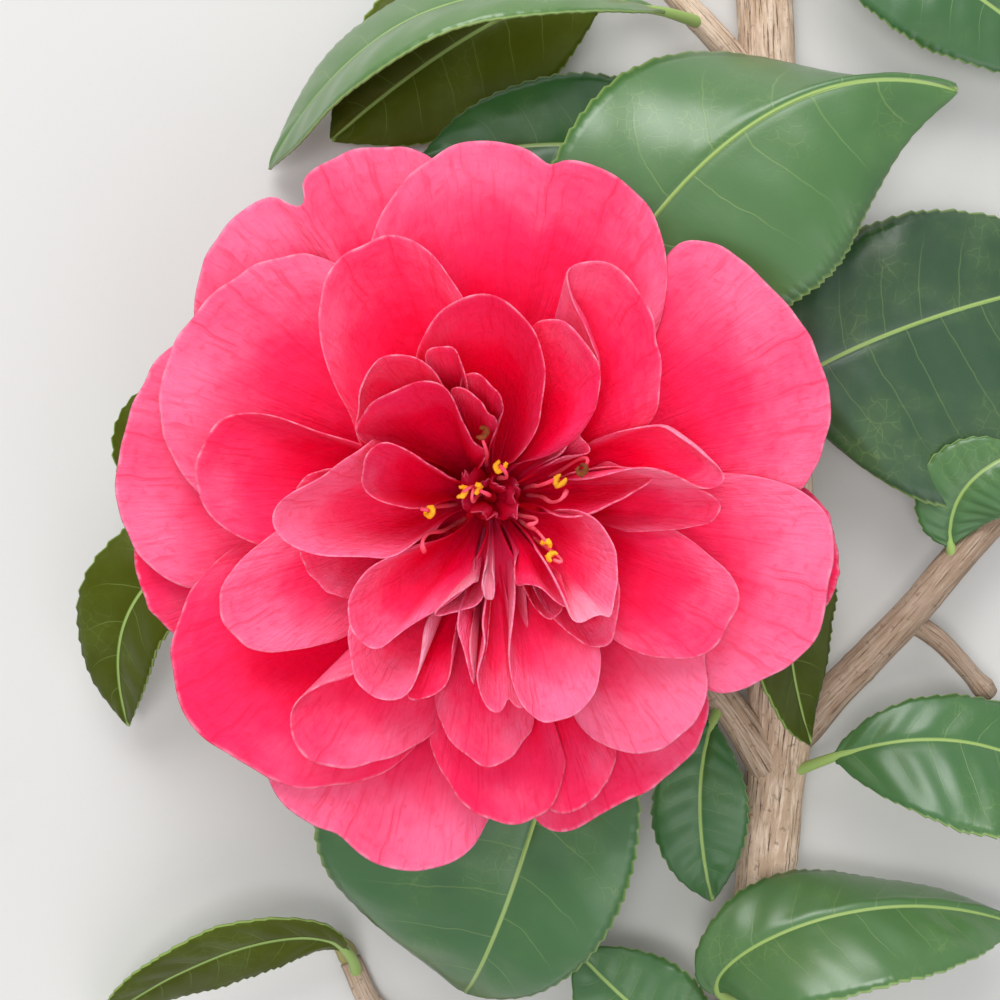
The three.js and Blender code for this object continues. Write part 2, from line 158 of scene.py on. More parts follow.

# Petals: foot of the petal, and its free rim from left to right as it is seen from the
# camera: across and up in the plane SIGHT_PLANE, and the height. A fourth number lifts
# (or sinks) the blade between foot and rim, and a fifth rolls the rim back inward. pale
# is a crumpled pale patch: its share of the rim, its spread and its strength; its
# whitish colour is partly the petal's own and partly painted sheen. The tone makes a
# petal paler pink or deeper red. This is partly its own colour, partly painted light on
# petals turned to the light and partly painted shade on petals that lie under others.
SIGHT_PLANE = 48.95
OUTER_PETALS = {
    "top_left": dict(foot=(-4, 4, 27.5), tone_and_painted_shading=0.3, rim=[
        (-44.7, 22.8, 37), (-46.2, 27.9, 38), (-45.9, 30.4, 39), (-45.1, 33.7, 40), (-44, 37, 40.5),
        (-42.5, 39.5, 41), (-40.4, 42.2, 41), (-38.2, 44, 41), (-36, 45.4, 41), (-33.9, 45.9, 41),
        (-32.7, 44.9, 41.5), (-31.3, 44.1, 41.7), (-29.6, 44, 41.7), (-29.2, 45, 41.5), (-29.6, 46.4, 41.3),
        (-30, 47.4, 41.2), (-29.1, 49, 41), (-26.6, 50.8, 41), (-23.6, 52, 41), (-20, 53, 40.5),
        (-16.4, 53.1, 40.5), (-12.7, 52.6, 40), (-9.8, 51.3, 39.5), (-7.3, 46.4, 39)]),
    "left": dict(foot=(-6, 0.5, 27.5), tone_and_painted_shading=0.25, rim=[
        (-40.9, -10.9, 39.5), (-43.5, -12.8, 40), (-46.4, -13.5, 40.5), (-49, -12.4, 41), (-51.5, -10.9, 41),
        (-54, -8.5, 41), (-55.8, -5.8, 41), (-57.1, -2.5, 41), (-57.8, 1.3, 41), (-57.6, 5, 41), (-56.8, 9, 41),
        (-55.6, 13, 41), (-54, 17, 41), (-52, 20.5, 41), (-49.5, 23.2, 41), (-45, 25, 39.5)]),
    "left_under": dict(foot=(-5.5, -1.5, 27), tone_and_painted_shading=-0.5, rim=[
        (-41, -24, 35), (-45, -22.5, 36), (-48.8, -20.3, 37), (-52.5, -16.5, 37.5), (-54.6, -11.3, 37.5),
        (-55, -6.8, 37.5), (-54, -2.3, 37), (-50, 2, 36)]),
    "bottom": dict(foot=(-3, -3.5, 27.5), tone_and_painted_shading=0.35, rim=[
        (2, -41, 38.5), (0, -45, 39.5), (-2, -48.9, 41), (-4.5, -52.5, 41.5), (-7.5, -54.6, 41.5),
        (-10.5, -55.5, 41.5), (-14, -55.6, 41.5), (-17.3, -55, 41.5), (-20.2, -53.9, 41.5), (-22.5, -52.3, 41.5),
        (-24, -50.2, 41.8), (-26.5, -49.4, 41.5), (-29.6, -48.3, 41.5), (-32.6, -45.8, 41.2),
        (-34.8, -42.5, 41), (-36, -38, 40)]),
    "bottom_under": dict(foot=(2, -3, 27), tone_and_painted_shading=-0.25, rim=[
        (30.5, -25, 38), (31.3, -29.1, 38.5), (31.1, -33.4, 39), (29.8, -37, 39.5), (27.5, -39.7, 40),
        (24.3, -42.5, 40), (20.1, -44.8, 40), (16.2, -46.6, 40), (12.4, -48.7, 40), (9, -49.7, 40),
        (5.7, -48.7, 39.5), (3, -45, 38.5)]),
    "right_under": dict(foot=(4, 1, 27), tone_and_painted_shading=-0.4, rim=[
        (46, 2, 37), (49, -1.5, 38.5), (50.4, -5.6, 39.5), (51, -10, 39.5), (50.5, -13.1, 39.5),
        (49.4, -15.6, 39), (46, -19, 38)]),
    "right_top": dict(foot=(3, 3, 28), tone_and_painted_shading=0.3, rim=[
        (23, 32, 39.5), (24.6, 35.6, 41), (26.2, 38.2, 42), (27.7, 39.1, 42.5), (29.7, 39.2, 43),
        (32.2, 38.7, 43), (35.1, 37.1, 43), (37.9, 35.1, 43), (40.6, 32.2, 43), (43.1, 29.3, 43),
        (45.7, 26, 43), (47.5, 22.8, 43), (48.7, 19.1, 43), (49.6, 15.5, 43), (49.7, 12.2, 43),
        (48.9, 8.6, 43), (47.5, 5.3, 43), (45.9, 2, 42.5), (41, -1, 41)]),
    # Its deep red tone is painted shade: it lies in the shadow of the middle petals.
    "left_low": dict(foot=(-4.5, -2.5, 28), tone_and_painted_shading=-0.45, rim=[
        (-9, -33, 40), (-12, -36.5, 41), (-16.5, -40.5, 42.5), (-20.3, -42, 43), (-24, -42.8, 43.5),
        (-27.5, -43.4, 44), (-31, -43.3, 44), (-34.8, -42.1, 44), (-38.3, -39.8, 44), (-40.8, -37.7, 44.4),
        (-44.3, -36.2, 44), (-47.1, -33.3, 44), (-48.9, -28.9, 44), (-49.5, -23.8, 44), (-48.5, -18.6, 44),
        (-46.5, -13.8, 44), (-42.8, -9.3, 43.5), (-37.5, -5.3, 42)]),
    # Its darker tone is painted shade.
    "bottom_dark": dict(foot=(0.5, -4, 28), tone_and_painted_shading=-0.3, rim=[
        (16.5, -33, 42.5), (17.4, -37.6, 43.5), (17, -40.6, 44), (15.5, -43.3, 44), (13.2, -45.7, 44),
        (10.5, -47, 44), (8.2, -47.1, 44), (6.5, -46, 43.5), (4, -42, 42.5)]),
    "left_top": dict(foot=(-5, 3, 28), tone_and_painted_shading=0.35, rim=[
        (-42, -1, 41), (-45.2, 0.8, 43), (-47.3, 3.1, 43.5), (-48.8, 5.7, 44), (-50.2, 8.6, 44.5),
        (-51.1, 11.9, 45), (-51.3, 15.1, 45), (-50.9, 18.4, 45), (-50, 21.3, 45), (-48.7, 23.9, 45),
        (-47, 26.4, 45), (-45.2, 29, 45), (-42.9, 31.4, 45), (-40.4, 33.2, 45), (-37.5, 34.9, 45),
        (-34.6, 36.1, 45), (-32, 36.8, 45), (-29.5, 37, 45), (-26.9, 36.5, 44.5), (-24.2, 35.4, 44),
        (-21, 32, 42.5)]),
    "top": dict(foot=(-1, 4.5, 28), tone_and_painted_shading=0.1, rim=[
        (-20.5, 31, 41), (-20, 36.2, 43), (-18.9, 40.2, 44), (-17.7, 43.5, 44.5), (-15.8, 46.4, 45),
        (-12.7, 49.7, 45), (-9.1, 52.2, 45), (-6.2, 53.5, 45), (-3, 54.1, 45), (0, 54.1, 45), (3.2, 53.4, 45),
        (6, 52, 45), (7.4, 50.2, 45.6), (8.9, 50.9, 45.3), (11.5, 51, 45), (14.4, 50.2, 44.7),
        (17.3, 48.6, 44.3), (20.3, 46, 44), (23.2, 42.6, 43.5), (24.8, 38.4, 43.3), (25.3, 34.8, 43.2),
        (25.1, 30, 43), (24, 26, 42), (21, 21, 41)]),
    "right": dict(foot=(4, -1, 28), tone_and_painted_shading=0.5, rim=[
        (29, 3, 42), (31.8, 4, 43), (34.5, 4, 44), (37.7, 3.8, 44.5), (41.7, 2.8, 44.5), (45.4, 1.3, 44.5),
        (48.2, -0.8, 44.5), (49.8, -3.3, 44.5), (50.4, -6.2, 44.5), (50.2, -9.5, 44.5), (49.4, -12.8, 44.5),
        (48.9, -16.1, 44.5), (48, -19.6, 44.5), (46.1, -22.6, 44.5), (43.4, -25.1, 44.5), (39.6, -27.3, 44.5),
        (35.7, -28.6, 44.5), (33.1, -29, 44), (30.5, -28.2, 43), (27, -25, 42)]),
    "bottom_middle": dict(foot=(-1.5, -4, 28.5), tone_and_painted_shading=-0.4, rim=[
        (10, -39, 44.5), (9, -43.5, 45), (7.8, -46.5, 45.5), (4.5, -48.2, 46), (0.3, -48.7, 46),
        (-3.8, -47.3, 46), (-6.8, -44.3, 46), (-9.3, -39.8, 46), (-10.8, -35.3, 45.5), (-10.8, -31, 44.5)]),
    "right_low": dict(foot=(2.5, -3, 28.5), tone_and_painted_shading=0.6, rim=[
        (28.5, -18, 44), (30.6, -21.8, 45), (31.1, -24.9, 46), (31.3, -28.4, 46.5), (30.8, -31.4, 46.5),
        (29.2, -33.6, 46.5), (27.1, -34.9, 46.5), (26, -36.3, 46.5), (24.3, -37.5, 46.5), (21.6, -38, 46.5),
        (18.5, -37.8, 46.5), (15.5, -36.8, 46.5), (13.2, -35.3, 46.5), (11.3, -33, 46), (10, -29, 45)]),
}
MIDDLE_PETALS = {
    "right_cup_low": dict(foot=(4, 0, 42), rim=[
        (16, 6, 51), (23.1, 3.4, 54), (26.9, 2.7, 54.5), (30.8, 1.3, 54.5), (33.2, -0.6, 54), (33.2, -2.3, 53.5),
        (31.4, -3.5, 53), (27.7, -4.3, 52), (19.3, -4.9, 49.5)]),
    "top_left": dict(foot=(-4, 5, 41), lift=-1, tone_and_painted_shading=-0.1, rim=[
        (-21, 8, 47), (-22.3, 12, 50), (-23.5, 14.8, 52), (-25.3, 18.1, 54), (-26.6, 22.1, 55),
        (-27.3, 26.4, 56), (-27.1, 30.1, 56.5), (-26.1, 33.7, 57), (-24.2, 36.2, 57), (-21.6, 37.7, 57),
        (-20.7, 38.3, 57), (-18.4, 39.7, 56.5), (-14.9, 39.7, 56.5), (-11.7, 38.3, 56), (-9.1, 35.6, 56),
        (-6.9, 32.8, 55.5), (-5.1, 29.6, 55), (-3.4, 24, 53)]),
    "left": dict(foot=(-6, 1.5, 41), tone_and_painted_shading=-0.3, rim=[
        (-30, -7.5, 46), (-33.5, -7.6, 48), (-36.8, -6.7, 49), (-39.5, -5.4, 49.5), (-42, -3.9, 49.5),
        (-44.3, -1.6, 50), (-45.6, 1.4, 50), (-46.1, 4.2, 50.5), (-45.6, 6.6, 51), (-44.5, 8.4, 51.5),
        (-43.9, 10, 52, -1), (-42.7, 11.6, 52.5, -2), (-41.1, 12.6, 53, -3), (-38.2, 13.2, 53.5, -4),
        (-34.9, 12.9, 53.5, -5), (-32, 12, 53.5, -5), (-28.4, 10.6, 53, -5), (-25.1, 9.6, 52, -4),
        (-21.5, 8.6, 50, -3)]),
    "left_low": dict(foot=(-6.5, -1.5, 41), lift=2, tone_and_painted_shading=0.35, rim=[
        (-18, -17, 45), (-21.7, -19.8, 46.5), (-24.8, -21.1, 48.5), (-27.5, -21.9, 49), (-30.9, -22.5, 49.5),
        (-34, -23, 50), (-36.3, -22.8, 50), (-38.6, -21.8, 50), (-39.9, -19.9, 50.5), (-41.8, -18.2, 50.5),
        (-42.5, -15.8, 51), (-42.1, -13.2, 51), (-40.1, -10.3, 51), (-37, -7.2, 51), (-34, -4.9, 51),
        (-29, -2.5, 49)]),
    "bottom_left": dict(foot=(-5, -5, 41), rim=[
        (-6, -29, 42), (-8.4, -33, 44), (-10, -35.3, 46), (-12.6, -36.8, 47.5), (-16, -38.3, 48),
        (-18.7, -39.4, 48.5), (-21.7, -40.3, 48.5), (-24.4, -40.4, 48.5), (-27.1, -39.9, 48.5),
        (-29.4, -38.5, 49), (-30.8, -36.5, 49), (-31.6, -34, 49.5), (-31.3, -31.5, 50.5, 0, 0.7),
        (-29.6, -29.3, 51.5, 0, 1.7), (-26.7, -27.6, 52, 0, 2.1), (-22.3, -26.2, 52, 0, 1.9),
        (-18.5, -24, 50, 0, 1)]),
    "bottom": dict(foot=(-1, -6, 42), lift=1, rim=[
        (5, -28, 45), (5.2, -31.5, 47), (4.9, -34, 48), (4, -35.8, 49), (2.5, -37.7, 49.5), (0.6, -39.3, 50),
        (-1.8, -39.9, 50), (-4.5, -38.9, 50), (-6.8, -36.9, 50), (-8.6, -34.4, 50), (-9.6, -31.7, 49.5),
        (-9.9, -28.5, 48)]),
    "right_low": dict(foot=(5, -3, 42), lift=1, rim=[
        (21, -3, 48), (25.8, -4.2, 50), (29.2, -6.2, 51), (31.4, -8.1, 51.5), (33.5, -10, 51.5),
        (35.3, -12, 51.5), (36, -14.2, 51), (35.6, -16.3, 50.5), (34.5, -18.2, 50.2), (33.9, -20.3, 50),
        (32.3, -22.2, 49.8), (30.4, -23.3, 49.8), (28.1, -23.8, 50), (25.4, -23.9, 50), (23.1, -23.6, 50),
        (20.8, -22.9, 50), (17, -21, 50), (13.5, -17.5, 48.5)]),
    "right_cup": dict(foot=(5, 0.8, 44), lift=-3, rim=[
        (10.2, 4, 52), (16, 5, 54), (21.5, 4.6, 56), (23.6, 3.4, 57), (20, 1.3, 57.5, -4, 0.8),
        (17, -0.4, 58, -5, 0.8), (12.4, -2.3, 58, -5, 0.7), (9.7, -2.5, 57, -4, 0.4), (7.2, -1.9, 53)]),
    "top_right": dict(foot=(3, 6, 44), lift=-1, tone_and_painted_shading=-0.15, rim=[
        (12, 14, 55), (14.8, 19.5, 58, -1, 1), (13.7, 24.2, 60, -1, 2.2), (11.9, 27.5, 61, -1, 2.6),
        (10.4, 31.1, 61.5, -1, 1.9), (9.8, 33.7, 61.5, -1, 0.8), (10.3, 35.2, 61), (12.2, 35.7, 60),
        (14.8, 35.9, 59.5), (17.7, 35, 59), (20.2, 32.6, 58.5), (22.2, 29.7, 58), (23.5, 26.2, 57.5),
        (23.3, 23.9, 57.6), (24.2, 21, 57), (24.3, 17.3, 56.5), (23.8, 14.1, 56), (22.2, 11.3, 53.5),
        (19.9, 8.9, 50.5), (17.3, 7, 48), (14, 6.3, 45)]),
    "right_rolled": dict(foot=(5.5, 3.5, 46), rim=[
        (14, 9, 53), (18, 10.4, 56), (22, 11, 58, 1, 1), (24.5, 11, 59.5, 1, 2), (26.6, 9.9, 60, 1, 2.4),
        (29.2, 7.8, 60, 1, 2.2), (31.6, 5.8, 60, 1, 1.6), (33.4, 4.2, 59.5, 1, 0.8), (33.9, 2.9, 58.8),
        (32.9, 1.9, 58), (31, 1.5, 58), (28.2, 3, 59), (24.6, 4.5, 60), (20.9, 4.9, 60), (18, 4.4, 60),
        (14.8, 3.4, 59), (11, 3, 55)]),
    "left_peek": dict(foot=(-9, 1, 45), rim=[
        (-26, 0, 54), (-30, 0.6, 56.5), (-30.5, 2, 57.5), (-29.1, 3.6, 58), (-27.3, 4.4, 58.5), (-25.1, 4.7, 59),
        (-22, 4.6, 58)]),
    "left_small": dict(foot=(-9, -3, 43), rim=[
        (-19.9, -13.2, 48), (-22.7, -14.9, 51), (-25.6, -13.9, 52.5), (-27.8, -12.4, 53), (-29.3, -10.4, 53.5),
        (-30, -7.8, 54), (-28, -5.5, 53), (-23, -4, 50)]),
    "right_small": dict(foot=(4, -6, 44), rim=[
        (16.5, -9, 54), (18, -13.2, 56), (17.6, -17.2, 57), (17, -21.2, 57), (14.6, -22.1, 57),
        (11.8, -21.2, 57), (9, -18.8, 57), (6.6, -16.2, 55), (4.5, -12, 51)]),
}
INNER_PETALS = {
    "top": dict(foot=(-1.5, 5, 43), lift=-7, tone_and_painted_shading=-0.55, rim=[
        (-6, 9, 46), (-10.4, 13, 51), (-12.2, 17.5, 58), (-12.5, 22.2, 63.5), (-10.4, 26.8, 66.5),
        (-6.3, 30.1, 67), (-1.5, 30.8, 67), (2.6, 28.8, 66.5), (5.4, 25.2, 66), (6.8, 20.9, 65), (6.7, 16.3, 63),
        (5.9, 12.1, 60), (4.4, 8.5, 56), (1.8, 5.6, 49)]),
    "top_right": dict(foot=(0, 6, 44), lift=-4, tone_and_painted_shading=-0.35, rim=[
        (3.6, 20, 50), (4.6, 25.4, 56), (6.6, 27.2, 62), (9.4, 27.1, 65), (11.8, 25.4, 65.5),
        (13.9, 22.5, 66), (15, 19.3, 65, -1), (14.9, 15.7, 63, 4), (13.8, 12.5, 61, 6), (11.8, 9.6, 59, 7),
        (9, 7.4, 57, 6), (5.4, 6.1, 54, 4), (2.4, 5.4, 49)]),
    "peak_back": dict(foot=(-6, 5.5, 45), lift=-3, rim=[
        (-17, 7.5, 56), (-21.7, 9.6, 60), (-21.2, 12.9, 62, -3, 0.4), (-20.7, 16.9, 65, -3, 0.9),
        (-19.7, 20.2, 67, -3, 0.8), (-17.9, 21.5, 68), (-15.1, 21.7, 68.5), (-12.7, 21.6, 68.5),
        (-10.6, 20.3, 68), (-8.7, 17.7, 66), (-6.3, 13, 58)]),
    "top_curl_left": dict(foot=(-4, 7, 46), lift=-2, tone_and_painted_shading=-0.2, rim=[
        (-8, 14, 56), (-10.6, 18.5, 62), (-10.9, 22.4, 66), (-8.7, 23.2, 67), (-6.9, 23, 67), (-5.8, 20.3, 66),
        (-5, 18, 64), (-5.2, 15, 59)]),
    "top_curl_right": dict(foot=(-2, 7, 46), lift=-2, tone_and_painted_shading=-0.3, rim=[
        (-5.4, 13, 55), (-6.1, 16.5, 60), (-5.1, 19.3, 63.5), (-3.5, 19.2, 64.3), (-1.7, 17.5, 64.3),
        (0, 15.6, 63.5), (0.5, 13.7, 61), (-0.6, 11.5, 56)]),
    "top_curl_low": dict(foot=(-3, 6, 46), lift=-1, tone_and_painted_shading=-0.3, rim=[
        (-6.6, 12, 56), (-7.3, 15.2, 61), (-7, 16.9, 64), (-4.7, 16.4, 65), (-2.9, 14.8, 64.5),
        (-1.8, 12.8, 63), (-0.4, 11.8, 60), (-1.2, 9, 54)]),
    "peak": dict(foot=(-5.5, 4, 45), lift=-7, tone_and_painted_shading=-0.65, rim=[
        (-12, 3.4, 47), (-17.5, 5, 52), (-21.4, 8.8, 58), (-20.9, 12.6, 64.5), (-18.3, 15.3, 69),
        (-13.6, 17.3, 71), (-10.4, 17.9, 72), (-8.5, 17.4, 72), (-6.8, 14.9, 70), (-5.6, 11.6, 67),
        (-4, 8.8, 62), (-2.2, 7.2, 56), (-2.8, 5, 49)]),
    "left": dict(foot=(-7, -0.5, 45), lift=0, tone_and_painted_shading=0.5, rim=[
        (-9.5, -4.5, 50), (-12.5, -6.2, 55), (-15.1, -8.1, 57), (-17.5, -9, 57.5), (-19.3, -8.4, 58),
        (-21.9, -8.5, 58), (-25, -8.4, 58), (-30, -7.4, 58), (-33, -5.2, 58.5), (-34.1, -2.8, 59.3),
        (-32.9, -0.5, 60.5, -1), (-28.4, 2.7, 62.5, -2), (-23.5, 5.9, 64.5, -3), (-20, 8.1, 66, -4),
        (-18.2, 8.8, 60, -4), (-14.5, 6.6, 50, -3)]),
    "left_cup": dict(foot=(-7, 1.5, 46), lift=-3, tone_and_painted_shading=-0.35, rim=[
        (-10, -1, 53), (-13, -1.2, 58), (-15.6, -0.9, 60.5), (-17.4, -0.7, 61.3), (-19.4, 0.5, 62.3),
        (-20.7, 2.3, 63.3), (-21, 4.3, 64.8), (-20, 6.9, 66.8), (-18.4, 8.9, 68), (-15.9, 8.4, 67.5),
        (-13.5, 7.3, 66.5), (-10.4, 5.1, 63), (-8.3, 3.9, 58.5), (-6.5, 3, 53)]),
    "left_low": dict(foot=(-4, -5.5, 45), lift=0, tone_and_painted_shading=0.25, rim=[
        (-3.9, -10, 52), (-4.2, -12.2, 55, 2), (-7.9, -15.5, 58, 3), (-10.5, -17, 59, 4), (-13.5, -18.9, 60, 4),
        (-16.5, -21, 60, 2), (-18.3, -22.7, 60), (-20.9, -21.4, 60.5, -1), (-22.7, -18.8, 61, -2),
        (-23.1, -15.6, 61, -2), (-22.1, -12.8, 61, -2), (-20.3, -10.6, 60, -2), (-17.5, -9, 58), (-12, -6.5, 53)]),
    "bottom_left": dict(foot=(-5, -8, 45), lift=0, tone_and_painted_shading=0.4, rim=[
        (-7.5, -14, 50), (-10, -16.8, 55, 2), (-11.4, -19, 57, 3), (-11.9, -23.3, 57, 4), (-12.6, -26.9, 57, 3),
        (-14.2, -29.6, 56.5, 1), (-16.7, -30.1, 56), (-19.1, -29.5, 56, -1), (-21.5, -27.3, 56, -1),
        (-22.7, -24.1, 56, -1), (-23, -20.4, 56, -1), (-21, -16, 54), (-14, -11, 50)]),
    "bottom_veil": dict(foot=(-4, -9, 45), tone_and_painted_shading=-0.5, rim=[
        (-6.4, -18, 52), (-7.3, -23.1, 55), (-7.6, -26.6, 56), (-8.7, -28.7, 56), (-10.8, -29.7, 55.5),
        (-13.7, -30.2, 55), (-13.5, -26, 53), (-10.5, -19, 50)]),
    "curl": dict(foot=(-2.5, -8, 46), lift=-1, tone_and_painted_shading=0.5, rim=[
        (-2.4, -12.5, 53), (-3, -15.6, 57), (-6.3, -16.6, 58), (-10, -17.3, 58), (-8.3, -15.5, 59.5),
        (-6.3, -13.9, 60.2), (-4.4, -12.8, 60), (-3.2, -12.2, 57)]),
    "tube_left": dict(foot=(-2.5, -9, 46), lift=2, tone_and_painted_shading=0.4, rim=[
        (-3.6, -16, 54), (-4.6, -21.5, 58), (-4.1, -25.5, 58.3), (-3.7, -28.2, 58), (-4.7, -25.6, 59),
        (-5.9, -21.5, 59.6), (-6.4, -17.6, 59), (-5, -13, 54)]),
    "tube_right": dict(foot=(-0.5, -8, 46), lift=1, tone_and_painted_shading=0.3, rim=[
        (1.4, -16, 52), (1.8, -21, 54.5), (2.6, -27, 55.5), (3.8, -31.6, 56), (2.3, -31.2, 56.5),
        (1, -29, 57.3), (0.7, -31.4, 57.6), (-0.2, -32.7, 58), (-1.8, -31.8, 58.3), (-3.1, -29.2, 58.8, 2),
        (-3.5, -26.8, 59.3, 3, 0.6), (-2.9, -23.8, 60, 3, 1.2), (-2, -21.6, 60, 2, 1.2), (-2.6, -19.4, 59.5, 2, 0.8),
        (-2, -14, 55)]),
    "throat": dict(foot=(-1.8, -10, 46), lift=-2, tone_and_painted_shading=-0.9, rim=[
        (-1.4, -15, 52), (-1.9, -21, 56.5), (-2.7, -25, 57), (-3.7, -26.8, 57), (-4.7, -24, 57),
        (-4.9, -20.5, 56.5), (-3.6, -15, 53)]),
    "throat_back": dict(foot=(-0.5, -4.5, 46.5), tone_and_painted_shading=-0.3, rim=[
        (-4.5, -10, 50), (-6, -16, 51), (-6, -21.5, 51.5), (-3.6, -25.5, 52), (0, -27, 52),
        (3, -25, 52), (4.2, -19, 51.5), (3.6, -11, 50)]),
    "bottom": dict(foot=(1.8, -7, 45), lift=1, tone_and_painted_shading=0.45, rim=[
        (11.5, -16, 52), (14.2, -20, 55), (15.2, -23.2, 57), (14.8, -27.2, 58.3), (13.4, -30.5, 58.8),
        (11.3, -32.4, 59), (9, -33, 59), (6.7, -33.7, 59), (4.3, -32.1, 59.5), (2.5, -29.5, 60),
        (1.6, -26.4, 60), (1.3, -23, 60), (1.7, -19.6, 59.5), (2.2, -15.4, 57.5), (2.2, -11, 53)]),
    "tongue_low": dict(foot=(3, -7, 46), lift=-2, tone_and_painted_shading=-0.2, rim=[
        (9.4, -13.5, 54), (9.4, -16.4, 56.5), (8.6, -17.8, 57), (6.6, -17.5, 57), (4.7, -15.4, 56.3),
        (3.6, -13.4, 55), (2.8, -10.5, 52)]),
    "tongue": dict(foot=(3, -5.5, 46), lift=2, tone_and_painted_shading=-0.1, rim=[
        (9, -11, 58), (10.4, -16.1, 62), (8.2, -15, 61.6), (6.2, -13.2, 61), (3.9, -12.7, 60),
        (2.5, -13.2, 58), (2.1, -10.4, 56), (2.8, -7.8, 52)]),
    "bottom_right": dict(foot=(4.2, -3.4, 45), lift=-2, tone_and_painted_shading=0.4, pale=(0.64, 0.13, 1.3), rim=[
        (8.5, -1.4, 52), (11.8, -1.6, 57), (14.2, -2.8, 60), (16.2, -5, 62), (17.6, -7.8, 63),
        (17.9, -11.2, 63.5), (17.4, -15, 63.5), (16.6, -17.9, 63), (15.6, -17, 64.6), (14.5, -17.6, 63.6),
        (13.9, -16.9, 64.6), (13, -18.7, 63), (11.3, -19.1, 63), (10.3, -16.4, 64, -1, 0.5),
        (8.7, -12.8, 64.5, -1, 0.9), (7, -9.6, 64, -1, 0.9), (5.2, -7.2, 60)]),
    "petaloid": dict(foot=(-1, -4.5, 47), lift=1, tone_and_painted_shading=1.0, rim=[
        (-2.1, -9.8, 56), (-2.7, -12.5, 58), (-2.3, -14.6, 59), (-1.3, -15.2, 59), (-0.8, -13.4, 58.5),
        (-1.2, -10.4, 56.5)]),
    "right_sliver": dict(foot=(4, 4.5, 46), lift=-1, tone_and_painted_shading=0.1, rim=[
        (7.4, 6, 54), (9.4, 7.2, 57.5), (11.8, 10.6, 58.6), (12.4, 9.2, 58.2), (13.6, 7.2, 57.6), (9.8, 6.6, 56.6),
        (7, 5.2, 53)]),
}
PETAL_DEFAULTS = dict(lift=0.0, tone_and_painted_shading=0.0, wave=0.7, pale=(0.5, 0.1, 0.0))

# The middle and inner petals grow out of the heart nearer to its axis, and lower, than
# the foot where they come apart from each other
ROOT_SHARE = 0.4
ROOT_DROP = 7.0
HEART_FOOT = 21.5
HEART_TOP = 39.0
HEART_FOLDS = 9


# Stamens: tip from the bloom's axis, and whether the anther is dry or missing
STAMENS = [
    dict(tip=(1.4, 4.6, 57)), dict(tip=(-8.6, -2, 57)), dict(tip=(-4.2, 0.4, 56)),
    dict(tip=(-2.4, 1.2, 56)), dict(tip=(8.4, -7, 58)), dict(tip=(9.2, -9.2, 58)),
    dict(tip=(9.8, 2.7, 58)), dict(tip=(13.8, 4.2, 59), dry=True), dict(tip=(-1.2, 8.6, 59), dry=True),
    dict(tip=(0, 0.2, 56), bare=True), dict(tip=(5.6, -4.2, 56), bare=True),
    dict(tip=(11.2, 0.8, 57), bare=True), dict(tip=(-9.6, -8, 57), bare=True),
]


class BranchSizes(bpy.types.PropertyGroup):
    """Thicknesses and relief of the branch"""

    petal_thickness: FloatProperty(
        name="Petal thickness", description="Thickness of a petal", default=0.3 * MM, unit="LENGTH")
    leaf_thickness: FloatProperty(
        name="Leaf thickness", description="Thickness of a leaf's blade", default=0.45 * MM, unit="LENGTH")
    bark_relief: FloatProperty(
        name="Bark relief", description="Depth of the ridges in the bark", default=0.35 * MM, unit="LENGTH")


def colour_property(name, description, default):
    return FloatVectorProperty(
        name=name, description=description, default=default, subtype="COLOR", size=3, min=0, max=1)


class BranchColours(bpy.types.PropertyGroup):
    """Colours of petals, leaves and bark"""

    petal: colour_property("Petal", "Blade of a petal", (0.95, 0.022, 0.105))
    petal_foot: colour_property("Petal foot", "Foot of a petal, in the heart", (0.94, 0.001, 0.045))
    petal_vein: colour_property("Petal vein", "Fine veins in a petal", (0.8, 0.003, 0.045))
    # The pink of the outer end is partly the petal's own colour and partly painted sheen.
    petal_end: colour_property("Petal end", "Pink outer end of a petal", (0.97, 0.15, 0.29))
    # The pale rim is a painted highlight where the petal's edge catches the light.
    petal_rim: colour_property("Petal rim", "Thin pale rim of a petal", (0.97, 0.33, 0.45))
    petal_back: colour_property("Petal back", "Underside of a petal", (0.95, 0.1, 0.22))
    leaf: colour_property("Leaf", "Upper side of a grown leaf", (0.033, 0.125, 0.027))
    leaf_back: colour_property("Leaf underside", "Underside of a grown leaf", (0.15, 0.24, 0.07))
    leaf_vein: colour_property("Leaf midrib", "Midrib of a leaf", (0.3, 0.43, 0.12))
    young_leaf: colour_property("Young leaf", "Upper side of a young leaf", (0.055, 0.07, 0.0))
    bark: colour_property("Bark", "Bark of the stems", (0.56, 0.39, 0.27))
    bark_streak: colour_property("Bark streak", "Pale streaks in the bark", (0.85, 0.67, 0.52))
    anther: colour_property("Anther", "Pollen on the anthers", (0.9, 0.42, 0.01))
    floor: colour_property("Floor", "Surface that the branch lies on", (0.62, 0.61, 0.59))


def clamp(value, low=0.0, high=1.0):
    return min(max(value, low), high)


def lerp(a, b, share):
    return a + (b - a) * share


def smooth(value, low, high):
    share = clamp((value - low) / (high - low))
    return share * share * (3 - 2 * share)


class Path:
    """A line of points, read back by a share of its length."""

    def __init__(self, points):
        self.points = points
        self.lengths = [0.0]
        for a, b in zip(points, points[1:]):
            self.lengths.append(self.lengths[-1] + (b - a).length)
        self.length = self.lengths[-1]
        last = len(points) - 1
        self.tangents = [
            (points[min(i + 1, last)] - points[max(i - 1, 0)]).normalized() for i in range(last + 1)
        ]

    def at(self, share):
        """Point and tangent at that share of the length."""
        goal = clamp(share) * self.length
        i = clamp(bisect_right(self.lengths, goal), 1, len(self.points) - 1)
        part = (goal - self.lengths[i - 1]) / (self.lengths[i] - self.lengths[i - 1])
        point = self.points[i - 1].lerp(self.points[i], part)
        return point, self.tangents[i - 1].lerp(self.tangents[i], part).normalized()


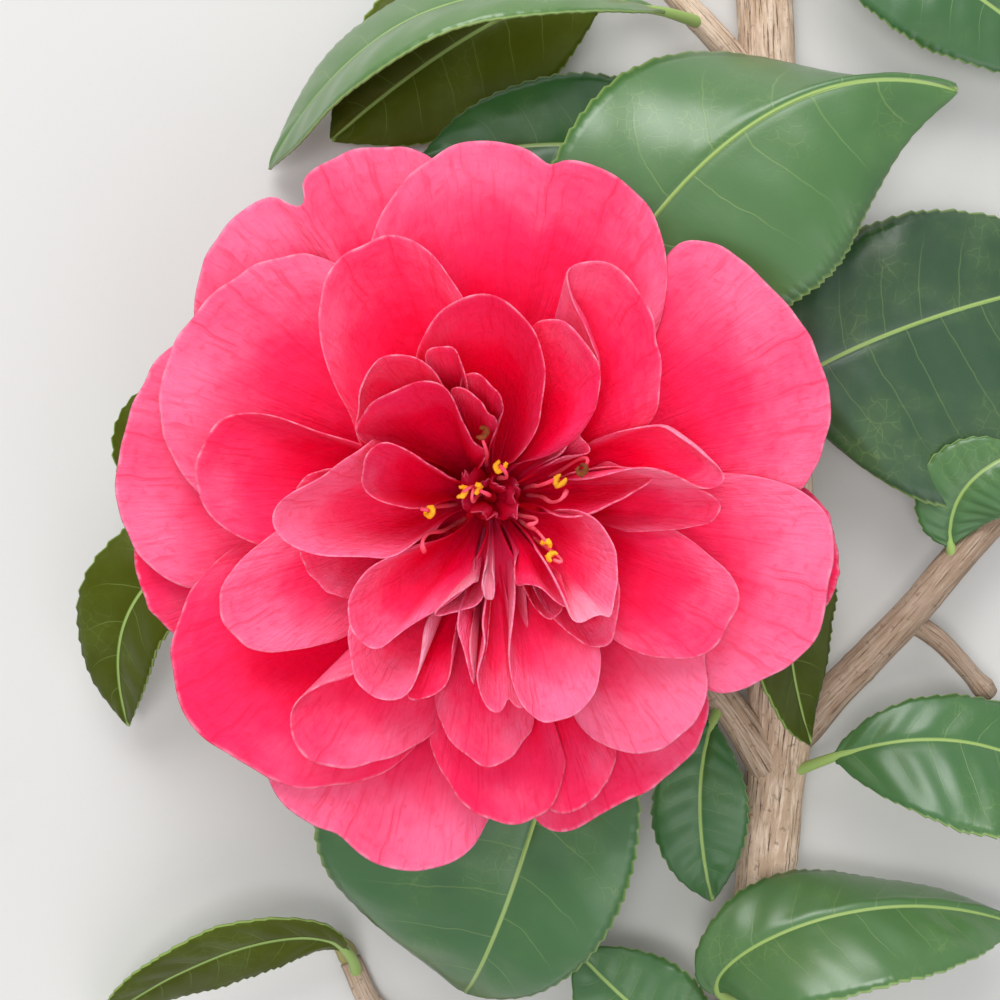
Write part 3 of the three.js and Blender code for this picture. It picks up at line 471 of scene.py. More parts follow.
def bezier(corners, count=48):
    """Path along a cubic curve with four control points."""
    a, b, c, d = (Vector(corner) for corner in corners)
    shares = [i / count for i in range(count + 1)]
    return Path([
        a * (1 - t) ** 3 + b * 3 * t * (1 - t) ** 2 + c * 3 * t * t * (1 - t) + d * t ** 3 for t in shares
    ])


def through(corners, count=24):
    """Path through all the corners, a centripetal spline."""
    knots = [Vector(corner) for corner in corners]
    knots = [2 * knots[0] - knots[1], *knots, 2 * knots[-1] - knots[-2]]
    points = []
    for i in range(1, len(knots) - 2):
        p = knots[i - 1:i + 3]
        t = [0.0]
        for a, b in zip(p, p[1:]):
            t.append(t[-1] + math.sqrt((b - a).length))
        for j in range(count):
            now = lerp(t[1], t[2], j / count)
            a = [p[k].lerp(p[k + 1], (now - t[k]) / (t[k + 1] - t[k])) for k in range(3)]
            b = [a[k].lerp(a[k + 1], (now - t[k]) / (t[k + 2] - t[k])) for k in range(2)]
            points.append(b[0].lerp(b[1], (now - t[1]) / (t[2] - t[1])))
    return Path([*points, knots[-2]])


def blade_frame(tangent, turn=0.0):
    """Directions to the right and out of the upper side at a point of a midrib."""
    right = Matrix.Rotation(turn, 3, tangent) @ tangent.cross(UP).normalized()
    return right, right.cross(tangent)


def bare_selection():
    bpy.ops.object.select_all(action="DESELECT")


def active(piece):
    bare_selection()
    piece.select_set(True)
    bpy.context.view_layer.objects.active = piece


def sheet(name, columns, rows, place):
    """A grid whose points are laid by place(u, v): u from -1 to 1 across, v from 0 to 1 along."""
    bare_selection()
    bpy.ops.mesh.primitive_grid_add(x_subdivisions=columns, y_subdivisions=rows, size=1)
    piece = bpy.context.object
    piece.name = name
    piece.data.name = name
    for vertex in piece.data.vertices:
        vertex.co = ORIGIN + MM * place(2 * vertex.co.x, vertex.co.y + 0.5)
    return piece


def grid_spots(columns, rows):
    """The u and v of each point of a sheet, in the order of its points."""
    return [(2 * (i % (columns + 1)) / columns - 1, i // (columns + 1) / rows)
            for i in range((columns + 1) * (rows + 1))]


def note(piece, name, values):
    """Keeps one number for each vertex under that name."""
    piece.data.attributes.new(name, "FLOAT", "POINT").data.foreach_set("value", values)


def finish(piece, modifiers, materials):
    """Applies the modifiers in order and gives the piece its materials."""
    for material in materials:
        piece.data.materials.append(bpy.data.materials[material])
    active(piece)
    for kind, settings in modifiers:
        bpy.ops.object.modifier_add(type=kind)
        modifier = piece.modifiers[-1]
        for key, value in settings.items():
            setattr(modifier, key, value)
        bpy.ops.object.modifier_apply(modifier=modifier.name)
    bpy.ops.object.shade_smooth()
    return piece


def wall(thickness):
    return ("SOLIDIFY", dict(thickness=thickness, offset=0, use_even_offset=False, material_offset=1,
                             material_offset_rim=0))


def rounded(levels=1):
    return ("SUBSURF", dict(levels=levels, render_levels=levels))


def joined(pieces, name):
    active(pieces[0])
    for piece in pieces:
        piece.select_set(True)
    if len(pieces) > 1:
        bpy.ops.object.join()
    piece = bpy.context.object
    piece.name = name
    piece.data.name = name
    return piece


def carried(piece, slot, *nodes):
    """Hangs the piece on the root and hides the nodes it stands for; slot is not used."""
    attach(piece, "root")
    if nodes:
        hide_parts(*nodes)


def merged(piece):
    """Joins the corners that meet at a seam or a pole."""
    active(piece)
    bpy.ops.object.mode_set(mode="EDIT")
    bpy.ops.mesh.select_all(action="SELECT")
    bpy.ops.mesh.remove_doubles(threshold=1e-7)
    bpy.ops.object.mode_set(mode="OBJECT")
    return piece


def tube(name, path, radius, columns, rows, side=None):
    """A closed round limb along the path. radius(share, angle) gives its size and lift.

    Three rings at each end lie in the cut, from its middle to its chamfered edge. The
    faces inside them take the second material.
    """
    end_sizes = (0.0, 0.55, 0.93)
    rings = rows + 6

    def spot(v):
        ring = round(v * rings)
        end = min(ring, rings - ring)
        size = end_sizes[end] if end < 3 else 1.0
        return clamp((ring - 3) / rows), size

    def place(u, v):
        share, end_size = spot(v)
        point, tangent = path.at(share)
        right, over = blade_frame(tangent)
        if side:
            right, over = side, side.cross(tangent)
        angle = math.pi * u
        size, lift = radius(share, angle)
        return point + over * lift + (right * math.sin(angle) - over * math.cos(angle)) * size * end_size

    piece = sheet(name, columns, rings, place)
    grain = []
    for i in range(len(piece.data.vertices)):
        angle = math.pi * (2 * (i % (columns + 1)) / columns - 1)
        share, end_size = spot(i // (columns + 1) / rings)
        grain += [math.cos(angle) * end_size, math.sin(angle) * end_size, share * path.length * 0.1]
    attribute = piece.data.attributes.new("grain", "FLOAT_VECTOR", "POINT")
    attribute.data.foreach_set("vector", grain)
    for polygon in piece.data.polygons:
        row = polygon.index // columns
        polygon.material_index = int(min(row, rings - 1 - row) < 2)
    return merged(piece)


def bud(name, foot, direction, length, width, material):
    """A pointed bud of overlapping scales."""
    path = Path([foot + direction * length * i / 12 for i in range(13)])

    def radius(v, angle):
        oval = math.sin(math.pi * (0.12 + 0.88 * v) ** 0.8) ** 0.8
        scales = 0.06 * math.sin(3 * angle + 9 * v) * math.sin(math.pi * v)
        return max(0.0, width * (oval + scales)), 0.0

    return finish(tube(name, path, radius, 16, 14), [], [material, material])


def limb(name, stem, relief):
    """A woody limb with knots, ridges in its bark and ends that are cut or grown."""
    path = through(stem["route"])
    foot, tip = stem["radius"]
    at, swell, spread = stem["knot"]
    seed = Vector((sum(map(ord, name)) * 0.37, 0, 0))
    green = stem.get("green", False)
    rough = relief / MM * (0.3 if green else 1.0) * min(1.0, foot / 4)

    def radius(v, angle):
        bump = swell * math.exp(-((v - at) / spread) ** 2)
        round_point = Vector((math.cos(angle), math.sin(angle), 0)) * foot * 0.42
        along = UP * v * path.length
        ridges = noise.fractal(round_point + along * 0.035 + seed, 0.6, 2.1, 4)
        dents = noise.noise(round_point * 0.5 + along * 0.11 + seed)
        rings = math.exp(-((v * path.length / 17 + 0.4) % 1 - 0.5) ** 2 * 900)
        size = lerp(foot, tip, v) + bump + rough * (0.75 * ridges + 0.5 * dents + 0.35 * rings)
        return size, bump

    rows = int(path.length * (2.4 if foot > 4 else 1.7))
    piece = tube(name, path, radius, 72 if foot > 4 else 36, rows)
    note(piece, "tone_and_painted_shading", [stem.get("tone_and_painted_shading", 0.0)] * len(piece.data.vertices))
    skin = "Green bark" if green else "Bark"
    finish(piece, [], [skin, "Cut wood" if stem["ends"] == "cut" else skin])
    if stem["ends"] == "bud":
        point, tangent = path.at(1)
        end = bud(name + "_bud", point - tangent * 0.6, tangent, 6.0, tip * 0.95, "Bract")
        piece = joined([piece, end], name)
    return piece


def leaf_outline(q, full):
    """Half width of a leaf's blade from the end of its stalk to its drawn-out tip."""
    oval = math.sin(math.pi * q ** full) ** 0.74 if 0 < q < 1 else 0.0
    return oval * (1 - 0.2 * smooth(q, 0.84, 1))


def rib_size(v, stalk):
    """Radius of a leaf's stalk, and of the midrib that it turns into."""
    if v < stalk:
        return lerp(1.15, 0.8, v / stalk)
    return lerp(0.8, 0.14, ((v - stalk) / (1 - stalk)) ** 0.5)


def leaf(name, shape, thickness):
    """A leaf with a toothed margin, a raised net of side veins and its stalk and midrib."""
    path = bezier(shape["rib"])
    half, stalk = shape["half"], shape["stalk"]
    skew, full, tuck = shape.get("skew", 0.0), shape.get("full", 0.95), shape.get("tuck", (0, 0, 1))
    rise = math.radians(shape["fold"])
    blade_length = path.length * (1 - stalk)
    teeth = max(14, round(blade_length / 2.3))
    veins = 7
    seed = sum(map(ord, name)) * 0.61

    def spine(t):
        turn = math.radians(lerp(*shape["turn"], t))
        point, tangent = path.at(t)
        return (point, *blade_frame(tangent, turn))

    def across_of(u, v):
        side = math.copysign(abs(u) ** 1.35, u)
        tooth = 0.55 * ((v * teeth) % 1.0) * math.sin(math.pi * v) ** 0.3 if 0.03 < v < 0.97 else 0.0
        width = max(0.3 if v > 0.5 else 0.9, leaf_outline(v, full) * half) * (1 + math.copysign(skew, u))
        return side, side * (width + tooth * smooth(abs(u), 0.9, 1.0)), width

    def place(u, v):
        point, right, over = spine(lerp(stalk * 0.94, 1, v))
        side, x, width = across_of(u, v)
        far = abs(x)
        bent = math.hypot(far, 1.5) - 1.5
        tucked = math.radians(tuck[0]) * smooth(lerp(stalk, 1, v), *tuck[1:]) if u < 0 else 0.0
        slope = rise - tucked * smooth(far, 0.0, 2.5)
        lift = math.sin(slope) * bent - 0.10 * width * abs(side) ** 3
        phase = v * veins * 1.25 - 0.9 * abs(side) ** 1.4 + (0.5 if side > 0 else 0)
        swell = 0.28 * math.sin(math.pi * phase) ** 2 * smooth(abs(side), 0.02, 0.3) * (1 - abs(side) ** 4)
        ripple = noise.noise(Vector((side * 1.3, v * 4.2, seed))) * (0.4 + 1.2 * side * side)
        groove = -0.3 * math.exp(-(far / 0.55) ** 2)
        edge_wave = 0.5 * math.sin(19 * v + seed) * side ** 4
        tall = (lift + swell + groove) + (ripple + edge_wave) * math.sin(math.pi * clamp(v)) * width / 16
        return point + right * x * math.cos(slope) + over * tall

    columns = 26 if half > 12 else 22
    rows = teeth * 4
    blade = sheet(name, columns, rows, place)
    spots = grid_spots(columns, rows)
    note(blade, "rib", [abs(across_of(u, v)[1]) for u, v in spots])
    note(blade, "tone_and_painted_shading", [shape.get("tone_and_painted_shading", 0.0)] * len(spots))
    kind = "Young leaf" if shape.get("young") else "Leaf"
    materials = [kind, kind + " back"]
    finish(blade, [wall(thickness)], materials)

    sunk = []
    for i in range(61):
        v = i / 60
        point, right, over = spine(v)
        size = rib_size(v, stalk)
        sunk.append(point - over * smooth(v, stalk * 0.8, stalk * 1.4) * (size * 0.62 + 0.12))
    rib = tube(name + "_rib", Path(sunk), lambda v, angle: (rib_size(v, stalk), 0.0), 12, 60)
    note(rib, "rib", [0.0] * len(rib.data.vertices))
    note(rib, "tone_and_painted_shading", [0.0] * len(rib.data.vertices))
    finish(rib, [], ["Leaf stalk", "Leaf stalk"])
    return joined([blade, rib], name)


def sighted(across, up, height):
    """The place at that height which the camera sees at across and up in SIGHT_PLANE."""
    nearer = (CAMERA_HEIGHT - height) / (CAMERA_HEIGHT - SIGHT_PLANE)
    return Vector((across * nearer, up * nearer, height))


def petal_piece(name, shape, thickness, outer):
    """A petal: a fan of lines that run out from its foot to the spline of its free rim."""
    petal = {**PETAL_DEFAULTS, **shape}
    foot = Vector(petal["foot"])
    axis = BLOOM_AXIS + UP * foot.z
    root = foot if outer else axis.lerp(foot, ROOT_SHARE) - UP * ROOT_DROP
    stations = [(*station, *(petal["lift"], 0.0)[len(station) - 3:]) for station in petal["rim"]]
    rim = through([sighted(*station[:3]) for station in stations], 10)
    shares = [rim.lengths[10 * i] / rim.length for i in range(len(stations))]
    seed = sum(map(ord, name)) * 0.173
    rise_one, rise_two = (0.42, 0.34) if outer else (0.0, 0.0)
    frill = petal["wave"] * (1.0 if outer else 1.5)
    pale_at, pale_spread, pale_gain = petal["pale"]

    # The crumpled pale patch is partly the petal's own whitish colour and partly painted sheen.
    def paleness(u, v):
        return pale_gain * math.exp(-((0.5 * (u + 1) - pale_at) / pale_spread) ** 2) * v ** 4

    def between(share, index):
        i = int(clamp(bisect_right(shares, share), 1, len(shares) - 1))
        part = smooth(share, shares[i - 1], shares[i])
        return lerp(stations[i - 1][index], stations[i][index], part)

    def place(u, v):
        share = 0.5 * (u + 1)
        end = rim.at(share)[0]
        lift, roll = between(share, 3), between(share, 4)
        way = Vector((end.x - foot.x, end.y - foot.y, 0)).normalized()
        end += way * 0.7 * noise.noise(Vector((share * 16, seed, 7))) * (1 - abs(u) ** 8)
        start = foot + way * 1.3
        height = end.z - start.z
        flat = end - start - UP * height
        inside = math.sin(math.pi * clamp(share)) ** 0.5
        bend = 0.3 if outer else 0.1
        one = start + flat * bend + UP * (height * (bend + rise_one) + lift * inside)
        two = start + flat * 0.72 + UP * (height * (0.72 + rise_two * 0.8) + lift * inside)
        if roll:
            turned = smooth(roll, 0.0, 0.6)
            two = two.lerp(end + way * roll * 2.4 - UP * roll * 1.5, turned)
        a, b, c, d = (1 - v) ** 3, 3 * v * (1 - v) ** 2, 3 * v * v * (1 - v), v ** 3
        point = (root + way * 1.3) * a + one * b + two * c + end * d
        wave = noise.noise(Vector((u * 2.4, v * 1.7, seed))) * v ** 1.3
        ruffle = math.sin(15 * u + seed * 5) * noise.noise(Vector((u * 2.2, seed, 3))) * v ** 5
        crease = noise.noise(Vector((u * 11, v * 0.8, seed + 9))) * 0.3 * v * (1.2 - v)
        bumps = noise.noise(Vector((u * 9, v * 5, seed + 4))) * 0.3 * v
        crumple = noise.noise(Vector((u * 26, v * 9, seed))) * 1.5 * paleness(u, v)
        return point + UP * (frill * (1.3 * wave + 1.1 * ruffle) + crease + bumps + crumple) * inside

    columns = int(clamp(rim.length / 2.0, 22, 56))
    rows = 20 if outer else 18
    piece = sheet(name, columns, rows, place)
    note(piece, "tone_and_painted_shading", [petal["tone_and_painted_shading"] + paleness(u, v) for u, v in grid_spots(columns, rows)])
    return finish(piece, [wall(thickness), rounded()], ["Petal", "Petal back"])


def whorl(kind, petals, outer):
    sizes = bpy.context.scene.camellia_sizes
    for name, shape in petals.items():
        carried(petal_piece(f"petal_{kind}_{name}", shape, sizes.petal_thickness, outer), "petal")


class Graph:
    """Adds nodes to a tree and links whatever is given as a socket."""

    def __init__(self, tree):
        self.tree = tree

    def add(self, kind, inputs=None, **settings):
        node = self.tree.nodes.new(kind)
        for key, value in settings.items():
            setattr(node, key, value)
        for key, value in (inputs or {}).items():
            socket = node.inputs[key]
            if isinstance(value, bpy.types.NodeSocket):
                self.tree.links.new(value, socket)
            else:
                socket.default_value = value
        return node

    def math(self, operation, a, b=0.0, c=0.0, clamped=False):
        node = self.add("ShaderNodeMath", {0: a, 1: b, 2: c}, operation=operation, use_clamp=clamped)
        return node.outputs[0]

    def ramp(self, value, low, high, to_low=0.0, to_high=1.0):
        node = self.add("ShaderNodeMapRange", {0: value, 1: low, 2: high, 3: to_low, 4: to_high},
                        interpolation_type="SMOOTHSTEP")
        return node.outputs[0]

    def mix(self, factor, a, b, blend="MIX"):
        node = self.add("ShaderNodeMix", data_type="RGBA", blend_type=blend)
        for index, value in ((0, factor), (6, a), (7, b)):
            if isinstance(value, bpy.types.NodeSocket):
                self.tree.links.new(value, node.inputs[index])
            else:
                node.inputs[index].default_value = value
        return node.outputs[2]

    def noise(self, vector, scale, detail=3.0, roughness=0.55):
        node = self.add("ShaderNodeTexNoise", {"Vector": vector, "Scale": scale, "Detail": detail,
                                               "Roughness": roughness})
        return node.outputs[0]

    def scaled(self, vector, factors):
        node = self.add("ShaderNodeVectorMath", {0: vector, 1: factors}, operation="MULTIPLY")
        return node.outputs[0]


def opaque(colour):
    return (*colour, 1.0)


def effect(name, inputs, outputs):
    """Starts a shader node group with named sockets."""
    group = bpy.data.node_groups.new(name, "ShaderNodeTree")
    for socket, kind in inputs:
        group.interface.new_socket(name=socket, in_out="INPUT", socket_type="NodeSocket" + kind)
    for socket, kind in outputs:
        group.interface.new_socket(name=socket, in_out="OUTPUT", socket_type="NodeSocket" + kind)
    graph = Graph(group)
    return graph, graph.add("NodeGroupInput").outputs, graph.add("NodeGroupOutput").inputs


def build_petal_effect():
    graph, given, result = effect(
        "Petal surface",
        [("UV", "Vector"), ("Tone and painted shading", "Float"), ("Blade", "Color"), ("Foot", "Color"), ("Vein", "Color"),
         ("End", "Color"), ("Rim highlight", "Color")],
        [("Colour", "Color"), ("Height", "Float"), ("Roughness", "Float")],
    )
    split = graph.add("ShaderNodeSeparateXYZ", {0: given["UV"]})
    across, along = split.outputs[0], split.outputs[1]
    wander = graph.noise(graph.scaled(given["UV"], (5, 7, 1)), 1.0, 2.0)
    bent = graph.add("ShaderNodeCombineXYZ", {0: graph.math("MULTIPLY_ADD", wander, 0.03, across), 1: along})
    streaks = graph.noise(graph.scaled(bent.outputs[0], (54, 2.6, 1)), 1.0, 3.0, 0.6)
    fine = graph.noise(graph.scaled(bent.outputs[0], (130, 7, 1)), 1.0, 2.0, 0.6)
    puckers = graph.noise(graph.scaled(given["UV"], (26, 24, 1)), 1.0, 3.0, 0.6)
    blotch = graph.noise(graph.scaled(given["UV"], (4, 3.5, 1)), 1.0, 4.0, 0.6)
    # From the deep red foot to the pink end: partly the petal's own colour, partly painted shade near the foot and
    # painted sheen at the end.
    near_rim = graph.ramp(along, 0.32, 1.0)
    # The tone shifts the petal paler or deeper red: partly its own colour, partly painted light and shade.
    tinted = graph.math("MULTIPLY_ADD", given["Tone and painted shading"], 0.45, -0.22)
    shade = graph.math("MULTIPLY_ADD", near_rim, 0.76, tinted)
    shade = graph.math("ADD", shade, graph.math("MULTIPLY_ADD", blotch, 0.9, -0.3), clamped=True)
    colour = graph.mix(graph.ramp(shade, 0.0, 0.42), given["Foot"], given["Blade"])
    colour = graph.mix(graph.ramp(shade, 0.35, 1.0), colour, given["End"])
    vein = graph.math("MAXIMUM", graph.ramp(streaks, 0.5, 0.74), graph.ramp(fine, 0.54, 0.8, 0.0, 0.6))
    vein = graph.math("MULTIPLY", vein, graph.math("MULTIPLY_ADD", near_rim, 0.45, 0.12))
    vein = graph.math("MAXIMUM", vein, graph.ramp(puckers, 0.52, 0.72, 0.0, 0.32))
    colour = graph.mix(vein, colour, given["Vein"])
    side = graph.math("ABSOLUTE", graph.math("MULTIPLY_ADD", across, 2.0, -1.0))
    # High tones turn the outer part whitish: partly the petal's own pale colour, partly painted sheen.
    pale = graph.math("MULTIPLY", graph.ramp(given["Tone and painted shading"], 0.5, 1.1, 0.0, 0.85), near_rim)
    colour = graph.mix(pale, colour, given["Rim highlight"])
    # A thin pale line along the free rim and the side margins: a painted highlight where the edge catches the light,
    # broken up by noise.
    side_rim_highlight = graph.math("MULTIPLY", graph.ramp(side, 0.985, 1.0), graph.ramp(along, 0.5, 0.95))
    rim = graph.math("MAXIMUM", graph.ramp(along, 0.98, 0.998), side_rim_highlight)
    uneven = graph.ramp(graph.noise(graph.scaled(given["UV"], (22, 1, 1)), 1.0, 3.0), 0.38, 0.66, 0.05, 0.75)
    colour = graph.mix(graph.math("MULTIPLY", rim, uneven), colour, given["Rim highlight"])
    graph.tree.links.new(colour, result["Colour"])
    height = graph.math("MULTIPLY_ADD", fine, 0.3, graph.math("MULTIPLY_ADD", puckers, 0.9, streaks))
    graph.tree.links.new(height, result["Height"])
    graph.tree.links.new(graph.ramp(blotch, 0.3, 0.7, 0.5, 0.64), result["Roughness"])


def build_leaf_effect():
    graph, given, result = effect(
        "Leaf surface",
        [("UV", "Vector"), ("Place", "Vector"), ("Rib distance", "Float"), ("Tone and painted shading", "Float"),
         ("Blade", "Color"), ("Vein", "Color"), ("Net strength", "Float")],
        [("Colour", "Color"), ("Height", "Float"), ("Roughness", "Float")],
    )
    split = graph.add("ShaderNodeSeparateXYZ", {0: given["UV"]})
    side = graph.math("MULTIPLY_ADD", split.outputs[0], 2.0, -1.0)
    far = graph.math("POWER", graph.math("ABSOLUTE", side), 1.35)
    half_step = graph.math("MULTIPLY", graph.math("GREATER_THAN", side, 0.0), 0.5)
    bend = graph.math("MULTIPLY", graph.math("POWER", far, 1.4), 0.9)
    wander = graph.noise(given["Place"], 60.0, 3.0)
    phase = graph.math("SUBTRACT", graph.math("MULTIPLY_ADD", split.outputs[1], 8.75, half_step), bend)
    phase = graph.math("MULTIPLY_ADD", graph.math("SUBTRACT", wander, 0.5), 0.55, phase)
    wave = graph.math("ABSOLUTE", graph.math("SUBTRACT", graph.math("FRACT", phase), 0.5))
    side_vein = graph.ramp(wave, 0.475, 0.5)
    side_vein = graph.math("MULTIPLY", side_vein, graph.ramp(far, 0.9, 0.35))
    warp = graph.add("ShaderNodeTexNoise", {"Vector": given["Place"], "Scale": 260.0, "Detail": 2.0})
    bent = graph.add("ShaderNodeVectorMath", {0: warp.outputs["Color"], 1: (0.0022, 0.0022, 0.0022),
                                              2: given["Place"]}, operation="MULTIPLY_ADD")
    net = graph.add("ShaderNodeTexVoronoi", {"Vector": bent.outputs[0], "Scale": 430.0},
                    feature="DISTANCE_TO_EDGE")
    net_line = graph.ramp(net.outputs[0], 0.045, 0.0)
    blotch = graph.noise(given["Place"], 75.0, 4.0, 0.6)
    patch = graph.noise(given["Place"], 32.0, 3.0, 0.6)
    net_mask = graph.math("MULTIPLY", graph.math("MULTIPLY", net_line, given["Net strength"]),
                          graph.ramp(blotch, 0.48, 0.66))
    midrib = graph.ramp(given["Rib distance"], 0.5, 0.2)
    edge = graph.ramp(far, 0.97, 1.0, 0.0, 0.75)
    # A positive tone lightens the blade, partly as painted sheen; a negative one darkens it.
    tone_and_painted_shading = graph.math("MULTIPLY_ADD", given["Tone and painted shading"], 0.5, 0.5, clamped=True)
    lighter = graph.mix(0.35, given["Blade"], given["Vein"])
    darker = graph.mix(0.6, given["Blade"], (0.004, 0.02, 0.012, 1))
    colour = graph.mix(graph.ramp(tone_and_painted_shading, 0.5, 1.0), given["Blade"], lighter)
    colour = graph.mix(graph.ramp(tone_and_painted_shading, 0.5, 0.0), colour, darker)
    colour = graph.mix(graph.ramp(blotch, 0.4, 0.75, 0.0, 0.22), colour, lighter)
    colour = graph.mix(graph.ramp(patch, 0.45, 0.25, 0.0, 0.55), colour, darker)
    colour = graph.mix(net_mask, colour, given["Vein"])
    colour = graph.mix(graph.math("MULTIPLY", side_vein, 0.22), colour, given["Vein"])
    colour = graph.mix(graph.math("MAXIMUM", midrib, edge), colour, given["Vein"])
    graph.tree.links.new(colour, result["Colour"])
    height = graph.math("MULTIPLY_ADD", side_vein, -0.5, graph.math("MULTIPLY", net_line, -0.1))
    graph.tree.links.new(graph.math("ADD", height, graph.math("MULTIPLY", blotch, 0.8)), result["Height"])
    graph.tree.links.new(graph.ramp(patch, 0.3, 0.7, 0.3, 0.5), result["Roughness"])


def build_bark_effect():
    graph, given, result = effect(
        "Bark surface",
        [("Grain", "Vector"), ("Place", "Vector"), ("Tone and painted shading", "Float"), ("Bark", "Color"),
         ("Streak", "Color"), ("Dark", "Color")],
        [("Colour", "Color"), ("Height", "Float"), ("Roughness", "Float")],
    )
    streak = graph.noise(graph.scaled(given["Grain"], (5, 5, 1.6)), 1.0, 6.0, 0.65)
    crack = graph.noise(graph.scaled(given["Grain"], (11, 11, 1.1)), 1.0, 5.0, 0.7)
    patch = graph.noise(given["Place"], 90.0, 4.0, 0.6)
    speck = graph.noise(given["Place"], 900.0, 2.0, 0.5)
    colour = graph.mix(graph.ramp(streak, 0.42, 0.68), given["Bark"], given["Streak"])
    colour = graph.mix(graph.ramp(patch, 0.45, 0.7, 0.0, 0.6), colour, given["Streak"])
    colour = graph.mix(graph.ramp(crack, 0.47, 0.34), colour, given["Dark"])
    colour = graph.mix(graph.ramp(speck, 0.6, 0.75, 0.0, 0.5), colour, given["Dark"])
    # The tone darkens the bark: partly its own colour, partly painted shade.
    colour = graph.mix(given["Tone and painted shading"], colour, given["Dark"])
    graph.tree.links.new(colour, result["Colour"])
    height = graph.math("MULTIPLY_ADD", crack, 0.8, graph.math("MULTIPLY_ADD", speck, 0.25, streak))
    graph.tree.links.new(height, result["Height"])
    graph.tree.links.new(graph.ramp(streak, 0.3, 0.7, 0.85, 0.66), result["Roughness"])


def surface(name, group, inputs, bump, shader):
    """A material that feeds one effect group into a Principled BSDF."""
    material = bpy.data.materials.new(name)
    material.use_nodes = True
    graph = Graph(material.node_tree)
    principled = material.node_tree.nodes["Principled BSDF"]
    coordinates = graph.add("ShaderNodeTexCoord")
    sources = {
        "uv": coordinates.outputs["UV"],
        "object": coordinates.outputs["Object"],
    }
    for attribute in ("tone_and_painted_shading", "rib", "grain"):
        node = graph.add("ShaderNodeAttribute", attribute_name=attribute)
        sources[attribute] = node.outputs["Vector" if attribute == "grain" else "Fac"]
    values = {key: sources.get(value, value) if isinstance(value, str) else value for key, value in inputs.items()}
    node = graph.tree.nodes.new("ShaderNodeGroup")
    node.node_tree = bpy.data.node_groups[group]
    for key, value in values.items():
        if isinstance(value, bpy.types.NodeSocket):
            graph.tree.links.new(value, node.inputs[key])
        else:
            node.inputs[key].default_value = value
    graph.tree.links.new(node.outputs["Colour"], principled.inputs["Base Color"])
    graph.tree.links.new(node.outputs["Roughness"], principled.inputs["Roughness"])
    strength, distance = bump
    relief = graph.add("ShaderNodeBump", {"Strength": strength, "Distance": distance * MM,
                                          "Height": node.outputs["Height"]})
    graph.tree.links.new(relief.outputs[0], principled.inputs["Normal"])
    for key, value in shader.items():
        principled.inputs[key].default_value = value
    return material


